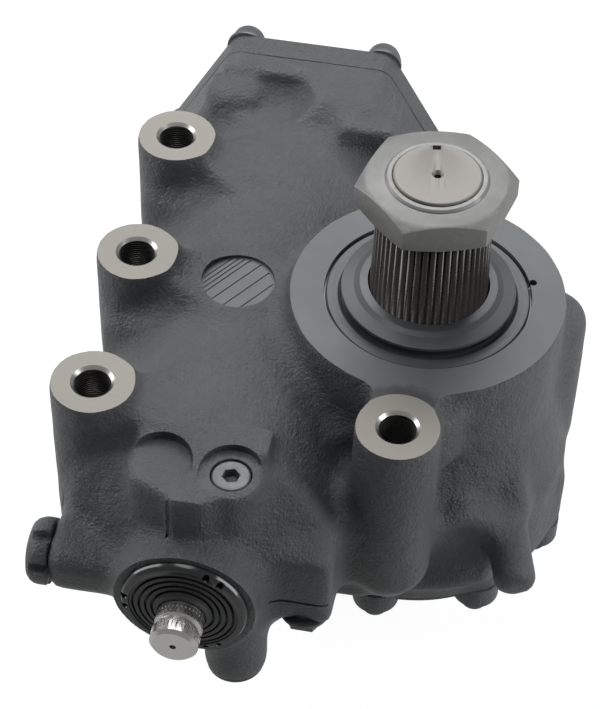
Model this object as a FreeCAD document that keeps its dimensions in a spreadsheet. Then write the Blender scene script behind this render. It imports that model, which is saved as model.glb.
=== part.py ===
import FreeCAD, Part
import math
import os

import Sketcher

# Recirculating-ball power steering gearbox for a heavy vehicle, in millimetres.
# The origin is on the sector shaft's axis, in the plane of the four machined mounting faces.
# +Z runs up the sector shaft towards its nut, and -Y points the way the input shaft comes out.

V = FreeCAD.Vector
doc = FreeCAD.newDocument("steering_gearbox")
sheet = doc.addObject("Spreadsheet::Sheet", "Sizes")
row = 0


def heading(words):
    """Start a group of sizes in the sheet."""
    global row
    row += 1
    sheet.set("A%d" % row, words)


def size(alias, value, note):
    """Write one driving size into the sheet, with its alias and what it is."""
    global row
    row += 1
    sheet.set("A%d" % row, note)
    sheet.set("B%d" % row, "%g" % value)
    sheet.setAlias("B%d" % row, alias)


heading("Main layout")
size("centre_distance", 93, "worm axis to sector shaft axis")
size("worm_depth", 80, "worm axis below the mounting faces")
size("running_gap", 0.3, "gap between pieces that move past each other")
size("fit_gap", 0.05, "radial clearance of a running fit")
size("seat_gap", 0.02, "clearance of a seated ring or race")
size("joint_gap", 0.4, "gap at the cover joints, closed by the seals")
size("edge_break", 1.5, "common chamfer of turned edges")

heading("Cylinder barrel")
size("bore_radius", 58, "piston bore")
size("barrel_wall", 11, "wall of the cylinder barrel")
size("bore_front", 115, "front end of the piston bore, before the sector axis")
size("joint_back", 172, "joint face of the cylinder cover, behind the sector axis")
size("front_wall", 9, "wall between the piston bore and the valve bore")
size("hex_corner", 90.2, "corner radius of the six-sided cover flange")
size("hex_flange", 14, "thickness of the cover flange on the housing")
size("flare_length", 38, "length of the flare from barrel to flange")
size("cover_plate", 15, "thickness of the cylinder cover")
size("cover_spigot", 12, "length of the cover's spigot in the bore")
size("cover_bolt_circle", 79, "radius of the circle of cover bolts")
size("cover_bolt_radius", 6, "cover bolt shank, M12")
size("bolt_boss_wall", 7, "metal round a cover bolt hole")
size("cover_bolt_flats", 18, "width across flats of a cover bolt")
size("cover_bolt_head", 11, "height of a cover bolt's head")
size("spot_x", 98.5, "milled spot on the barrel, left of the sector axis")
size("spot_radius", 19, "milled spot on the barrel")

heading("Input head")
size("head_front", 158, "front rim of the input head")
size("head_radius", 36.5, "outside of the input head's rim")
size("head_rim", 9, "length of the rim")
size("neck_radius", 34.5, "neck behind the rim")
size("head_cone", 24, "length of the cone from the barrel to the neck")
size("valve_bore", 28, "bore for the worm's bearings")
size("nut_bore", 32, "threaded bore for the input ring nut")
size("nut_bore_depth", 12, "depth of the ring nut's thread")
size("worm_head_radius", 24, "worm head, which holds the valve")
size("worm_head_back", 88, "back end of the worm head, before the sector axis")

heading("Sector tower and side flange")
size("tower_radius", 71, "round top face about the sector shaft")
size("tower_depth", 58, "straight part of the tower")
size("drum_radius", 81, "side cover flange")
size("drum_top", 104, "top of the side flange, below the mounting faces")
size("side_joint", 150, "joint face of the side cover, below the mounting faces")
size("chamber_radius", 57, "chamber for the sector gear")
size("chamber_top", 48, "roof of the sector chamber, below the mounting faces")
size("upper_race_radius", 40, "outside of the upper needle bearing")
size("seal_bore", 52.9, "recess for the seal carrier in the top face")
size("seal_depth", 16, "depth of the seal recess")
size("side_bolt_circle", 71, "radius of the circle of side cover bolts")
size("side_bolt_radius", 5, "side cover bolt shank, M10")
size("side_bolt_count", 8, "side cover bolts")
size("side_bolt_grip", 10, "length of a side cover bolt in the housing")
size("side_plate", 14, "thickness of the side cover")
size("side_spigot", 12, "length of the side cover's spigot")
size("side_boss_radius", 46, "boss of the side cover")
size("side_boss_depth", 16, "height of the side cover's boss")
size("side_bolt_start", 38, "angle of the first side cover bolt")
size("side_bolt_flats", 15, "width across flats of a side cover bolt")
size("side_bolt_head", 9, "height of a side cover bolt's head")
size("side_rib_width", 7, "ribs of the side cover")
size("snap_depth", 1.6, "depth of the retaining ring's groove")
size("snap_top", 2.4, "top of that groove, below the mounting faces")
size("snap_width", 2.2, "width of that groove")
size("snap_turn", 26, "angle of the retaining ring's gap")
size("lobe_x", 60.5, "cast lobe of the tower, right of the sector axis")
size("lobe_y", 22, "cast lobe of the tower, behind the sector axis")
size("lobe_radius", 22, "cast lobe of the tower")
size("lobe_top", 22, "top of the lobe, below the mounting faces")
size("lobe_crown", 5, "chamfer at the top of the lobe")

heading("Mounting bosses")
size("boss_radius", 21.5, "machined boss face")
size("boss_row", 151.9, "row of three bosses, left of the sector axis")
size("boss_pitch", 92.5, "pitch of the bosses in the row")
size("boss_front", 93.3, "front bosses, before the sector axis")
size("boss_side", 1, "fourth boss, left of the sector axis")
size("boss_hole", 9.25, "M20 x 1.5 thread, core radius")
size("boss_hole_depth", 30, "depth of the rearmost mounting thread")
size("boss_hole_step", 2, "each mounting thread is this much deeper than the one before it in the list")
size("boss_depth", 72, "length of a boss column")
size("boss_front_depth", 104, "length of a front boss column")
size("rib_width", 26, "rib from a boss to the barrel")
size("rib_top", 9, "top of the ribs, below the mounting faces")
size("web_top", 6, "top of the front boss's web, below the mounting faces")

heading("Cast features on the head")
size("pad_top", 15, "top of the two upright bosses, below the mounting faces")
size("plug_boss_x", 76, "limiter screw boss, left of the sector axis")
size("plug_boss_y", 126, "limiter screw boss, before the sector axis")
size("plug_boss_radius", 15.5, "limiter screw boss")
size("kidney_x", 111.5, "plain upright boss, left of the sector axis")
size("kidney_y", 125, "plain upright boss, before the sector axis")
size("kidney_radius", 16, "plain upright boss")
size("port_y", 133, "port boss axis, before the sector axis")
size("port_z", 88, "port boss axis, below the mounting faces")
size("port_radius", 17.5, "port boss")
size("port_end", 166, "port boss face, left of the sector axis")
size("return_y", 127, "return port axis, before the sector axis")
size("block_right", 23, "right end of the return block")
size("block_front", 139, "front of the return block")
size("block_top", 58, "top of the return block, below the mounting faces")
size("block_bottom", 108, "bottom of the return block")
size("relief_x", 72, "relief valve column, left of the sector axis")
size("relief_y", 137, "relief valve column, before the sector axis")
size("relief_radius", 15.5, "relief valve column")
size("relief_bottom", 140, "lower face of the relief valve column")
size("relief_bore", 10, "thread of the relief valve plug, M20")
size("relief_flats", 24, "width across flats of the relief valve plug")
size("port_bore", 9, "pressure port, M18")
size("port_flats", 30, "width across flats of the pressure port plug")
size("return_x", 38, "return port axis, left of the sector axis")
size("return_bore", 8, "return port, M16")
size("return_flats", 19, "width across flats of the return port plug")
size("screw_bore", 8, "thread of the limiter screw, M16")
size("screw_head", 9.6, "head of the limiter screw")
size("screw_flats", 8, "hexagon socket of the limiter screw")
size("counterbore", 10.3, "counterbore of the limiter screw")
size("pad_left", 66.5, "cast pad on the barrel, left of the sector axis")
size("pad_width", 31, "width of that pad")
size("pad_front", 120, "front of that pad, behind the sector axis")
size("pad_level", 4, "top of that pad, below the mounting faces")

heading("Rack and sector")
size("sector_pitch", 47, "sector pitch radius")
size("sector_teeth", 14, "teeth that the whole circle would have")
size("pressure_angle", 25, "pressure angle in degrees")
size("addendum_share", 0.9, "addendum over module")
size("dedendum_share", 1.1, "dedendum over module")
size("flank_gap", 0.3, "thinning of each sector flank")
size("gear_half_width", 30, "half the width of the sector teeth")
size("piston_front", 76, "front face of the piston, before the sector axis")
size("piston_back", 104, "back face of the piston, behind the sector axis")
size("piston_recess", 27, "recess in the piston for the worm head")
size("piston_recess_depth", 28, "depth of that recess")
size("piston_blind", 88, "blind end of the worm bore")
size("ring_place", 94, "piston ring groove, behind the sector axis")
size("ring_width", 4, "piston ring width")
size("ring_depth", 4, "piston ring groove depth")

heading("Ball screw")
size("lead", 13.5, "lead of the worm, right-handed")
size("ball_radius", 3.572, "steel ball, 9/32 inch")
size("ball_circle", 17.5, "circle of ball centres")
size("groove_gap", 0.3, "groove radius over ball radius")
size("worm_radius", 16.8, "outside of the worm thread")
size("nut_radius", 18.3, "bore of the piston round the worm")
size("thread_front", 80, "front end of the worm thread, before the sector axis")
size("worm_back", 44, "back end of the worm, behind the sector axis")
size("worm_tip_radius", 12.8, "plain tip of the worm")
size("worm_tip_length", 5, "length of the plain tip")
size("circuit_start", 38, "groove at the sector side, before the sector axis")
size("circuit_turns", 2, "turns of the ball circuit")
size("tube_reach", 38, "return tube's run, left of the worm axis")
size("tube_radius", 5.2, "outside of the return tube")
size("tube_bend", 8, "bend radius of the return tube")
size("tube_floor", 26, "floor of the return tube's pocket, left of the worm axis")
size("strap_screw", 9.5, "strap screws, above and below the worm axis")
size("ball_count", 28, "balls in the nut's groove")
size("ball_step", 24.3, "angle from ball to ball, in degrees")

heading("Valve and input shaft")
size("input_end", 184.4, "end of the input shaft, before the sector axis")
size("input_radius", 12.2, "serrated zones of the input shaft")
size("input_groove", 10.3, "clamp bolt groove of the input shaft")
size("valve_radius", 12, "rotor of the rotary valve")
size("rotor_end", 98, "back end of the rotor")
size("sleeve_radius", 17, "outside of the valve sleeve")
size("torsion_radius", 4.2, "head of the torsion bar")
size("torsion_waist", 2.9, "waist of the torsion bar")
size("pin_radius", 2, "torsion bar pins")
size("serrations", 36, "serrations of the input shaft")
size("serration_depth", 0.7, "depth of those serrations")
size("front_pin", 160.5, "front torsion bar pin, before the sector axis")
size("back_pin", 2.6, "back torsion bar pin, from the worm's back end")
size("sleeve_front", 138, "front end of the valve sleeve")
size("slot_length", 24, "length of the valve slots")
size("slot_front", 130, "front end of the valve slots")

heading("Sector shaft")
size("journal_radius", 33, "upper journal")
size("lower_journal", 31, "lower journal")
size("shaft_bottom", 168, "lower end of the sector shaft")
size("spline_base", 30.1, "root end of the tapered splines, outside radius")
size("spline_tip", 28.7, "nut end of the tapered splines, outside radius")
size("spline_start", 9, "start of the splines above the mounting faces")
size("spline_end", 60, "end of the splines")
size("spline_teeth", 48, "spline teeth")
size("spline_depth", 1.5, "depth of a spline groove")
size("shaft_thread", 22.1, "threaded end, M45 x 1.5")
size("shaft_end", 80.9, "top of the shaft")
size("nut_flats", 69.8, "width across flats of the nut")
size("nut_bottom", 62.3, "lower face of the nut")
size("nut_top", 78.4, "upper face of the nut")
size("nut_turn", 14.6, "angle of the nut about the shaft, in degrees")
size("dust_lip", 44.5, "outer lip of the dust ring")
doc.recompute()


FUNCTIONS = ("sin", "cos", "tan", "sqrt")


def num(expression):
    """The value of an expression over the sheet's aliases."""
    return float(sheet.evalExpression(expression))


def bound(expression):
    """The same expression as seen from another object."""
    out = ""
    word = ""
    for letter in expression + " ":
        if letter.isalnum() or letter in "_.":
            word += letter
            continue
        if word and word[0].isalpha() and word not in FUNCTIONS:
            word = "Sizes." + word
        out += word + letter
        word = ""
    return out.strip()


UP = FreeCAD.Rotation()
ALONG_Y = FreeCAD.Rotation(V(1, 0, 0), -90)
ALONG_X = FreeCAD.Rotation(V(0, 1, 0), 90)
WORM = ("-centre_distance", "0", "-worm_depth")
SECTOR = ("0", "0", "0")


def place(thing, base, turn=UP):
    """Put a thing at a base point given as three expressions."""
    thing.Placement = FreeCAD.Placement(V(*[num(part) for part in base]), turn)
    for letter, part in zip("xyz", base):
        thing.setExpression(".Placement.Base." + letter, bound(part))
    return thing


def primitive(kind, name, sizes, base, turn=UP):
    """A Part primitive with its sizes and place bound to the sheet."""
    thing = doc.addObject("Part::" + kind, name)
    for key, expression in sizes.items():
        thing.setExpression(key, bound(expression))
    return place(thing, base, turn)


def cylinder(name, radius, height, base, turn=UP):
    return primitive("Cylinder", name, {"Radius": radius, "Height": height}, base, turn)


def cone(name, start, end, height, base, turn=UP):
    return primitive("Cone", name, {"Radius1": start, "Radius2": end, "Height": height}, base, turn)


def box(name, length, width, height, base):
    return primitive("Box", name, {"Length": length, "Width": width, "Height": height}, base)


def fuse(name, shapes):
    thing = doc.addObject("Part::MultiFuse", name)
    thing.Shapes = shapes
    return thing


def cut(name, base, tool):
    thing = doc.addObject("Part::Cut", name)
    thing.Base = base
    thing.Tool = tool
    return thing


def common(name, first, second):
    thing = doc.addObject("Part::MultiCommon", name)
    thing.Shapes = [first, second]
    return thing


def solid(name, shape):
    """A shape made by Part's own functions, for what neither sketches nor primitives fit."""
    thing = doc.addObject("Part::Feature", name)
    thing.Shape = shape
    return thing


def plane_of(body, role):
    for feature in body.Origin.OriginFeatures:
        if feature.Role == role:
            return feature
    raise RuntimeError("no plane " + role)


def outline(body, name, role, points):
    """A closed sketch whose every corner is bound to the sheet by two dimensions."""
    sketch = body.newObject("Sketcher::SketchObject", name)
    sketch.AttachmentSupport = [(plane_of(body, role), "")]
    sketch.MapMode = "FlatFace"
    corners = [V(num(across), num(along), 0) for across, along in points]
    count = len(corners)
    for index in range(count):
        sketch.addGeometry(Part.LineSegment(corners[index], corners[(index + 1) % count]), False)
    for index in range(count):
        sketch.addConstraint(Sketcher.Constraint("Coincident", index, 2, (index + 1) % count, 1))
    for index, (across, along) in enumerate(points):
        for kind, value, expression in (("DistanceX", corners[index].x, across),
                                        ("DistanceY", corners[index].y, along)):
            number = sketch.addConstraint(Sketcher.Constraint(kind, -1, 1, index, 1, value))
            sketch.setExpression("Constraints[%d]" % number, bound(expression))
    return sketch


def revolved(name, points, base=SECTOR, along="Z"):
    """A turned piece: radius and height of each corner, spun about Z or Y through its base."""
    body = doc.addObject("PartDesign::Body", name)
    role = "XZ_Plane" if along == "Z" else "XY_Plane"
    sketch = outline(body, name + "_profile", role, points)
    spin = body.newObject("PartDesign::Revolution", name + "_spin")
    spin.Profile = sketch
    spin.ReferenceAxis = (sketch, ["V_Axis"])
    spin.Angle = 360
    return place(body, base)


def turned_x(name, points, base):
    """A turned piece about an axis along X: place and radius of each corner."""
    body = doc.addObject("PartDesign::Body", name)
    sketch = outline(body, name + "_profile", "XY_Plane", points)
    spin = body.newObject("PartDesign::Revolution", name + "_spin")
    spin.Profile = sketch
    spin.ReferenceAxis = (sketch, ["H_Axis"])
    spin.Angle = 360
    return place(body, base)


def hexagon(name, corner, height, base, turn=UP, start="0"):
    """A hexagonal prism given by its corner radius."""
    thing = doc.addObject("Part::Prism", name)
    thing.Polygon = 6
    thing.setExpression("Circumradius", bound(corner))
    thing.setExpression("Height", bound(height))
    spin = FreeCAD.Rotation(V(0, 0, 1), num(start))
    return place(thing, base, turn.multiply(spin))


def hexagon_over(name, flats, height, base, turn=UP, start="0"):
    """A hexagonal prism given by its width across flats."""
    return hexagon(name, "(%s) / sqrt(3)" % flats, height, base, turn, start)


def copies(name, shape, places):
    """A group of like solids, one at each placement."""
    return solid(name, Part.makeCompound([shape.transformed(spot.toMatrix()) for spot in places]))


# Places of what repeats.
BOSSES = {
    "boss_back_left": ("-boss_row", "boss_pitch", "boss_depth"),
    "boss_mid_left": ("-boss_row", "0", "boss_depth"),
    "boss_front_left": ("-boss_row", "-boss_front", "boss_front_depth"),
    "boss_front_right": ("-boss_side", "-boss_front", "boss_front_depth"),
}
COVER_TURNS = [60 * index for index in range(6)]
SIDE_COUNT = int(num("side_bolt_count"))
SIDE_TURNS = [num("side_bolt_start") + 360 * index / SIDE_COUNT for index in range(SIDE_COUNT)]
TALL_LUGS = (0, 6)


def on_worm(along):
    """A base point on the worm's axis."""
    return ("-centre_distance", along, "-worm_depth")


def on_cover_circle(turn, along):
    """A base point on the cylinder cover's bolt circle."""
    return ("-centre_distance + cos(%g) * cover_bolt_circle" % turn, along,
            "-worm_depth + sin(%g) * cover_bolt_circle" % turn)


def on_side_circle(turn, level):
    """A base point on the side cover's bolt circle."""
    return ("cos(%g) * side_bolt_circle" % turn, "sin(%g) * side_bolt_circle" % turn, level)


def point(base):
    """The vector of a base point given as three expressions."""
    return V(*[num(part) for part in base])


def turned_about(shape, pivot, axis, angle):
    """A copy of a shape, turned about an axis through a pivot."""
    spun = shape.copy()
    spun.rotate(pivot, axis, angle)
    return spun


def barrel_cast():
    """The cylinder, its flared six-sided flange with bolt lugs, and the input head."""
    wall = "bore_radius + barrel_wall"
    barrel_front = "-bore_front - 3"
    cone_front = "-bore_front - 3 - head_cone"
    parts = [
        cylinder("barrel", wall, "joint_back + bore_front + 3", on_worm(barrel_front), ALONG_Y),
        cone("head_cone_cast", "neck_radius", wall, "head_cone", on_worm(cone_front), ALONG_Y),
        cylinder("head_neck", "neck_radius", "head_front - bore_front", on_worm("-head_front"), ALONG_Y),
        cylinder("head_collar", "head_radius", "head_rim", on_worm("-head_front"), ALONG_Y),
        hexagon("cover_flange", "hex_corner", "hex_flange", on_worm("joint_back - hex_flange"), ALONG_Y),
    ]
    flare_base = on_worm("joint_back - hex_flange - flare_length")
    flats = hexagon("flare_flats", "hex_corner", "flare_length + hex_flange", flare_base, ALONG_Y)
    widening = cone("flare_cone", wall + " - 4", "hex_corner + 16", "flare_length + hex_flange", flare_base,
                    ALONG_Y)
    parts.append(common("flare", flats, widening))
    for index, turn in enumerate(COVER_TURNS):
        spot = on_cover_circle(turn, "joint_back - hex_flange - flare_length * 0.6")
        parts.append(cylinder("cover_lug_%d" % index, "cover_bolt_radius + bolt_boss_wall",
                              "hex_flange + flare_length * 0.6", spot, ALONG_Y))
    return parts


def tower_cast():
    """The round tower and side flange about the sector shaft, with the lugs of the side cover."""
    parts = [
        cylinder("tower", "tower_radius", "tower_depth + 4", ("0", "0", "-tower_depth - 4")),
        cone("tower_skirt", "drum_radius", "tower_radius", "drum_top - tower_depth", ("0", "0", "-drum_top")),
        cylinder("drum", "drum_radius", "side_joint - drum_top + 4", ("0", "0", "-side_joint")),
        box("saddle", "centre_distance", "2 * tower_radius", "side_joint - 40",
            ("-centre_distance", "-tower_radius", "-side_joint + 4")),
        fuse("lobe", [
            cylinder("lobe_column", "lobe_radius", "drum_top + 6 - lobe_top - lobe_crown",
                     ("lobe_x", "lobe_y", "-drum_top - 6")),
            cone("lobe_round", "lobe_radius", "lobe_radius - lobe_crown", "lobe_crown",
                 ("lobe_x", "lobe_y", "-lobe_top - lobe_crown"))]),
    ]
    for index, turn in enumerate(SIDE_TURNS):
        height = "62" if index in TALL_LUGS else "36"
        parts.append(cylinder("side_lug_%d" % index, "side_bolt_radius * 2.6", height,
                              on_side_circle(turn, "-side_joint")))
    return parts


def mounting_cast():
    """The four columns that carry the mounting threads, with the ribs to the barrel."""
    parts = []
    for name, (across, along, depth) in BOSSES.items():
        parts.append(cylinder(name, "boss_radius", depth, (across, along, "-" + depth)))
        parts.append(cone(name + "_foot", "boss_radius * 0.5", "boss_radius", "18",
                          (across, along, "-%s - 18" % depth)))
    for index, along in enumerate(("boss_pitch", "0", "-boss_front")):
        parts.append(box("boss_rib_%d" % index, "boss_row - centre_distance", "rib_width",
                         "worm_depth - rib_top",
                         ("-boss_row", along + " - rib_width / 2", "-worm_depth")))
    parts.append(box("front_boss_web", "rib_width + 6", "boss_front - 50", "drum_top - 2 - web_top",
                     ("-boss_side - rib_width / 2 - 3", "-boss_front", "-drum_top + 2")))
    return parts


def head_cast():
    """Bosses, ports and blocks round the input head, and the pads on the barrel."""
    root_left = "-kidney_x - kidney_radius"
    bridge_height = "port_z - pad_top - 6"
    return [
        cylinder("screw_boss", "plug_boss_radius", "port_z - pad_top",
                 ("-plug_boss_x", "-plug_boss_y", "-port_z")),
        cylinder("plain_boss", "kidney_radius", "port_z - pad_top", ("-kidney_x", "-kidney_y", "-port_z")),
        box("boss_bridge", "kidney_x - plug_boss_x", "plug_boss_radius * 1.9", bridge_height,
            ("-kidney_x", "-plug_boss_y - plug_boss_radius * 0.95", "-port_z")),
        box("boss_root", "kidney_x - plug_boss_x + 30", "plug_boss_y - 96", bridge_height,
            (root_left, "-plug_boss_y + 4", "-port_z")),
        cylinder("port_boss", "port_radius", "port_end - centre_distance",
                 ("-port_end", "-port_y", "-port_z"),
                 ALONG_X),
        box("port_root", "port_end - centre_distance - 14", "port_y - bore_front + 14", "2 * port_radius - 6",
            ("-port_end + 14", "-port_y", "-port_z - port_radius + 3")),
        box("return_block", "centre_distance - block_right", "block_front - 96", "block_bottom - block_top",
            ("-centre_distance", "-block_front", "-block_bottom")),
        cylinder("relief_column", "relief_radius", "relief_bottom - worm_depth",
                 ("-relief_x", "-relief_y", "-relief_bottom")),
        box("relief_web", "12", "34", "relief_bottom - worm_depth - 12",
            ("-relief_x + 4", "-relief_y", "-relief_bottom + 12")),
        box("barrel_pad", "pad_width", "joint_back - pad_front - 6", "36",
            ("-pad_left", "pad_front", "-pad_level - 36")),
        box("lower_web", "centre_distance - 20", "54", "46",
            ("-centre_distance + 10", "-104", "-side_joint + 22")),
    ]


def housing_outside():
    """The casting before it is bored, with its seams left as they fall."""
    cast = fuse("housing_cast", barrel_cast() + tower_cast() + mounting_cast() + head_cast())
    cast.Refine = False
    return cast


def housing_hollows():
    """Everything that is bored, drilled or machined out of the casting."""
    front = "-head_front - 1"
    notch_turn = "(snap_turn - 7)"
    parts = [
        cylinder("piston_bore", "bore_radius", "bore_front + joint_back + 1", on_worm("-bore_front"),
                 ALONG_Y),
        cylinder("wall_bore", "worm_head_radius + running_gap", "front_wall + 2",
                 on_worm("-bore_front - front_wall - 1"), ALONG_Y),
        cylinder("bearing_bore", "valve_bore", "head_front - bore_front - front_wall + 1", on_worm(front),
                 ALONG_Y),
        cylinder("nut_thread", "nut_bore", "nut_bore_depth + 1", on_worm(front), ALONG_Y),
        cylinder("chamber", "chamber_radius", "side_joint - chamber_top + 1", ("0", "0", "-side_joint - 1")),
        cylinder("upper_race_bore", "upper_race_radius", "chamber_top + 1", ("0", "0", "-chamber_top - 1")),
        cylinder("seal_recess", "seal_bore", "seal_depth + 1", ("0", "0", "-seal_depth")),
        cylinder("snap_groove", "seal_bore + snap_depth", "snap_width", ("0", "0", "-snap_top - snap_width")),
        cylinder("snap_notch", "snap_depth + 0.5", "6",
                 ("(seal_bore + snap_depth) * cos(%s)" % notch_turn,
                  "(seal_bore + snap_depth) * sin(%s)" % notch_turn, "-5")),
        cylinder("screw_counterbore", "counterbore", "9", ("-plug_boss_x", "-plug_boss_y", "-pad_top - 8")),
        cylinder("screw_thread", "screw_bore", "30", ("-plug_boss_x", "-plug_boss_y", "-pad_top - 32")),
        cylinder("port_thread", "port_bore", "32", ("-port_end - 1", "-port_y", "-port_z"), ALONG_X),
        cylinder("return_thread", "return_bore", "24", ("-return_x", "-return_y", "-block_bottom - 1")),
        cylinder("return_spot_face", "return_bore + 5.6", "24",
                 ("-return_x", "-return_y", "-block_bottom - 24")),
        cylinder("relief_thread", "relief_bore", "30", ("-relief_x", "-relief_y", "-relief_bottom - 1")),
        box("block_slot", "33", "3", "1.6", ("-57", "-block_front - 1", "-91")),
        cylinder("milled_spot", "spot_radius", "8",
                 ("-spot_x", "0", "-worm_depth + bore_radius + barrel_wall - 1.2")),
    ]
    for index, (name, (across, along, _)) in enumerate(BOSSES.items()):
        depth = "(boss_hole_depth + boss_hole_step * %d)" % index
        parts.append(cylinder(name + "_thread", "boss_hole", depth + " + 1", (across, along, "-" + depth)))
        parts.append(cone(name + "_mouth", "boss_hole", "boss_hole + edge_break + 0.1", "edge_break + 0.1",
                          (across, along, "-edge_break")))
    for index, turn in enumerate(COVER_TURNS):
        parts.append(cylinder("cover_hole_%d" % index, "cover_bolt_radius", "25",
                              on_cover_circle(turn, "joint_back - 24"), ALONG_Y))
    for index, turn in enumerate(SIDE_TURNS):
        parts.append(cylinder("side_hole_%d" % index, "side_bolt_radius", "side_bolt_grip + 2.5",
                              on_side_circle(turn, "-side_joint - 1")))
    return fuse("housing_hollow", parts)


def housing():
    """The bored casting."""
    bored = cut("housing", housing_outside(), housing_hollows())
    bored.Refine = False
    return bored


def cylinder_cover():
    """Six-sided cover of the cylinder, with its spigot and bolt holes."""
    plate = hexagon("cover_hexagon", "hex_corner", "cover_plate", on_worm("joint_back + joint_gap"), ALONG_Y)
    inside = "bore_radius - seat_gap"
    seal_floor = "bore_radius - 3"
    spigot = revolved("cover_turned", [
        ("0", "joint_back + 6"), ("0", "joint_back - 4"), ("bore_radius - 16", "joint_back - 4"),
        ("bore_radius - 12", "joint_back - cover_spigot"), (inside, "joint_back - cover_spigot"),
        (inside, "joint_back - 8"), (seal_floor, "joint_back - 8"), (seal_floor, "joint_back - 4"),
        (inside, "joint_back - 4"), (inside, "joint_back + 6")], WORM, "Y")
    dome = revolved("cover_dome", [
        ("0", "joint_back + 10"), ("bore_radius - 6", "joint_back + 10"),
        ("bore_radius - 10", "joint_back + cover_plate + 5"), ("0", "joint_back + cover_plate + 7")], WORM,
        "Y")
    holes = [cylinder("cover_clear_%d" % index, "cover_bolt_radius + 0.5", "cover_plate + 2",
                      on_cover_circle(turn, "joint_back - 0.5"), ALONG_Y)
             for index, turn in enumerate(COVER_TURNS)]
    return cut("cylinder_cover", fuse("cover_blank", [plate, spigot, dome]), fuse("cover_clearance", holes))


def bolt_shape(shank, length, flats, head):
    """A flanged hexagon bolt along +Z, with the underside of its head at the origin."""
    corner = flats / math.sqrt(3)
    points = [V(corner * math.cos(k * math.pi / 3), corner * math.sin(k * math.pi / 3), 0) for k in range(7)]
    hexagonal = Part.Face(Part.makePolygon(points)).extrude(V(0, 0, head))
    crown = Part.makeCone(corner * 1.35, corner * 0.8, head)
    washer = Part.makeCylinder(corner * 1.08, head * 0.22)
    stem = Part.makeCylinder(shank, length, V(0, 0, -length))
    return hexagonal.common(crown).fuse(washer).fuse(stem).removeSplitter()


def cylinder_cover_bolts():
    """Six bolts of the cylinder cover."""
    shape = bolt_shape(num("cover_bolt_radius - fit_gap"), num("cover_plate") + 20, num("cover_bolt_flats"),
                       num("cover_bolt_head"))
    along = "joint_back + joint_gap + cover_plate"
    spots = [FreeCAD.Placement(point(on_cover_circle(turn, along)), ALONG_Y) for turn in COVER_TURNS]
    return copies("cylinder_cover_bolts", shape, spots)


def cylinder_cover_seal():
    """Seal ring in the groove of the cover's spigot."""
    return revolved("cylinder_cover_seal", [
        ("bore_radius - 3", "joint_back - 7.9"), ("bore_radius", "joint_back - 7.9"),
        ("bore_radius", "joint_back - 4.1"), ("bore_radius - 3", "joint_back - 4.1")], WORM, "Y")


def side_cover():
    """Lower cover, which carries the sector shaft's lower bearing."""
    boss_face = "-side_joint - side_plate - side_boss_depth"
    plate_face = "-side_joint - side_plate"
    spigot = "chamber_radius - seat_gap"
    inside = "lower_journal + 7"
    turned = revolved("side_cover_turned", [
        ("8.2", boss_face), ("side_boss_radius - 6", boss_face), ("side_boss_radius", boss_face + " + 6"),
        ("side_boss_radius + 3", plate_face), ("drum_radius - 12", plate_face),
        ("drum_radius - 6", plate_face + " + 5"),
        ("drum_radius - 6", "-side_joint - joint_gap"), (spigot, "-side_joint - joint_gap"),
        (spigot, "-side_joint + 4"), ("chamber_radius - 3", "-side_joint + 4"),
        ("chamber_radius - 3", "-side_joint + 8"),
        (spigot, "-side_joint + 8"), (spigot, "-side_joint + side_spigot"),
        (inside, "-side_joint + side_spigot"),
        (inside, "-shaft_bottom - 2"), ("8.2", "-shaft_bottom - 2")])
    lugs = []
    holes = []
    for index, turn in enumerate(SIDE_TURNS):
        lugs.append(cylinder("cover_ear_%d" % index, "side_bolt_radius * 2.5", "side_plate - joint_gap",
                             on_side_circle(turn, plate_face)))
        holes.append(cylinder("ear_hole_%d" % index, "side_bolt_radius + 0.4", "side_plate + 2",
                              on_side_circle(turn, plate_face + " - 1")))
    width = num("side_rib_width")
    rib = Part.makeBox(num("drum_radius") - 30, width, 12, V(20, -width / 2, num(plate_face) - 11))
    ribs = [turned_about(rib, V(0, 0, 0), V(0, 0, 1), num("side_bolt_start") - 22.5 + 90 * index)
            for index in range(4)]
    bored = cylinder("boss_inside", inside, "30 + side_spigot", ("0", "0", "-shaft_bottom - 2"))
    blank = fuse("side_cover_blank", [turned, solid("side_cover_ribs", Part.makeCompound(ribs))] + lugs)
    return cut("side_cover", blank, fuse("side_cover_holes", holes + [bored]))


def side_cover_bolts():
    """Bolts of the side cover, put in from below."""
    shape = bolt_shape(num("side_bolt_radius - fit_gap"), num("side_plate + side_bolt_grip"),
                       num("side_bolt_flats"), num("side_bolt_head"))
    flip = FreeCAD.Rotation(V(1, 0, 0), 180)
    face = "-side_joint - side_plate"
    spots = [FreeCAD.Placement(point(on_side_circle(turn, face)), flip) for turn in SIDE_TURNS]
    return copies("side_cover_bolts", shape, spots)


def side_cover_seal():
    """Seal ring in the groove of the side cover's spigot."""
    return revolved("side_cover_seal", [
        ("chamber_radius - 3", "-side_joint + 4.1"), ("chamber_radius", "-side_joint + 4.1"),
        ("chamber_radius", "-side_joint + 7.9"), ("chamber_radius - 3", "-side_joint + 7.9")])


def involute(base_radius, radius):
    """Angle that an involute has turned through at a radius."""
    roll = math.sqrt(max((radius / base_radius) ** 2 - 1, 0))
    return roll - math.atan(roll)


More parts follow.
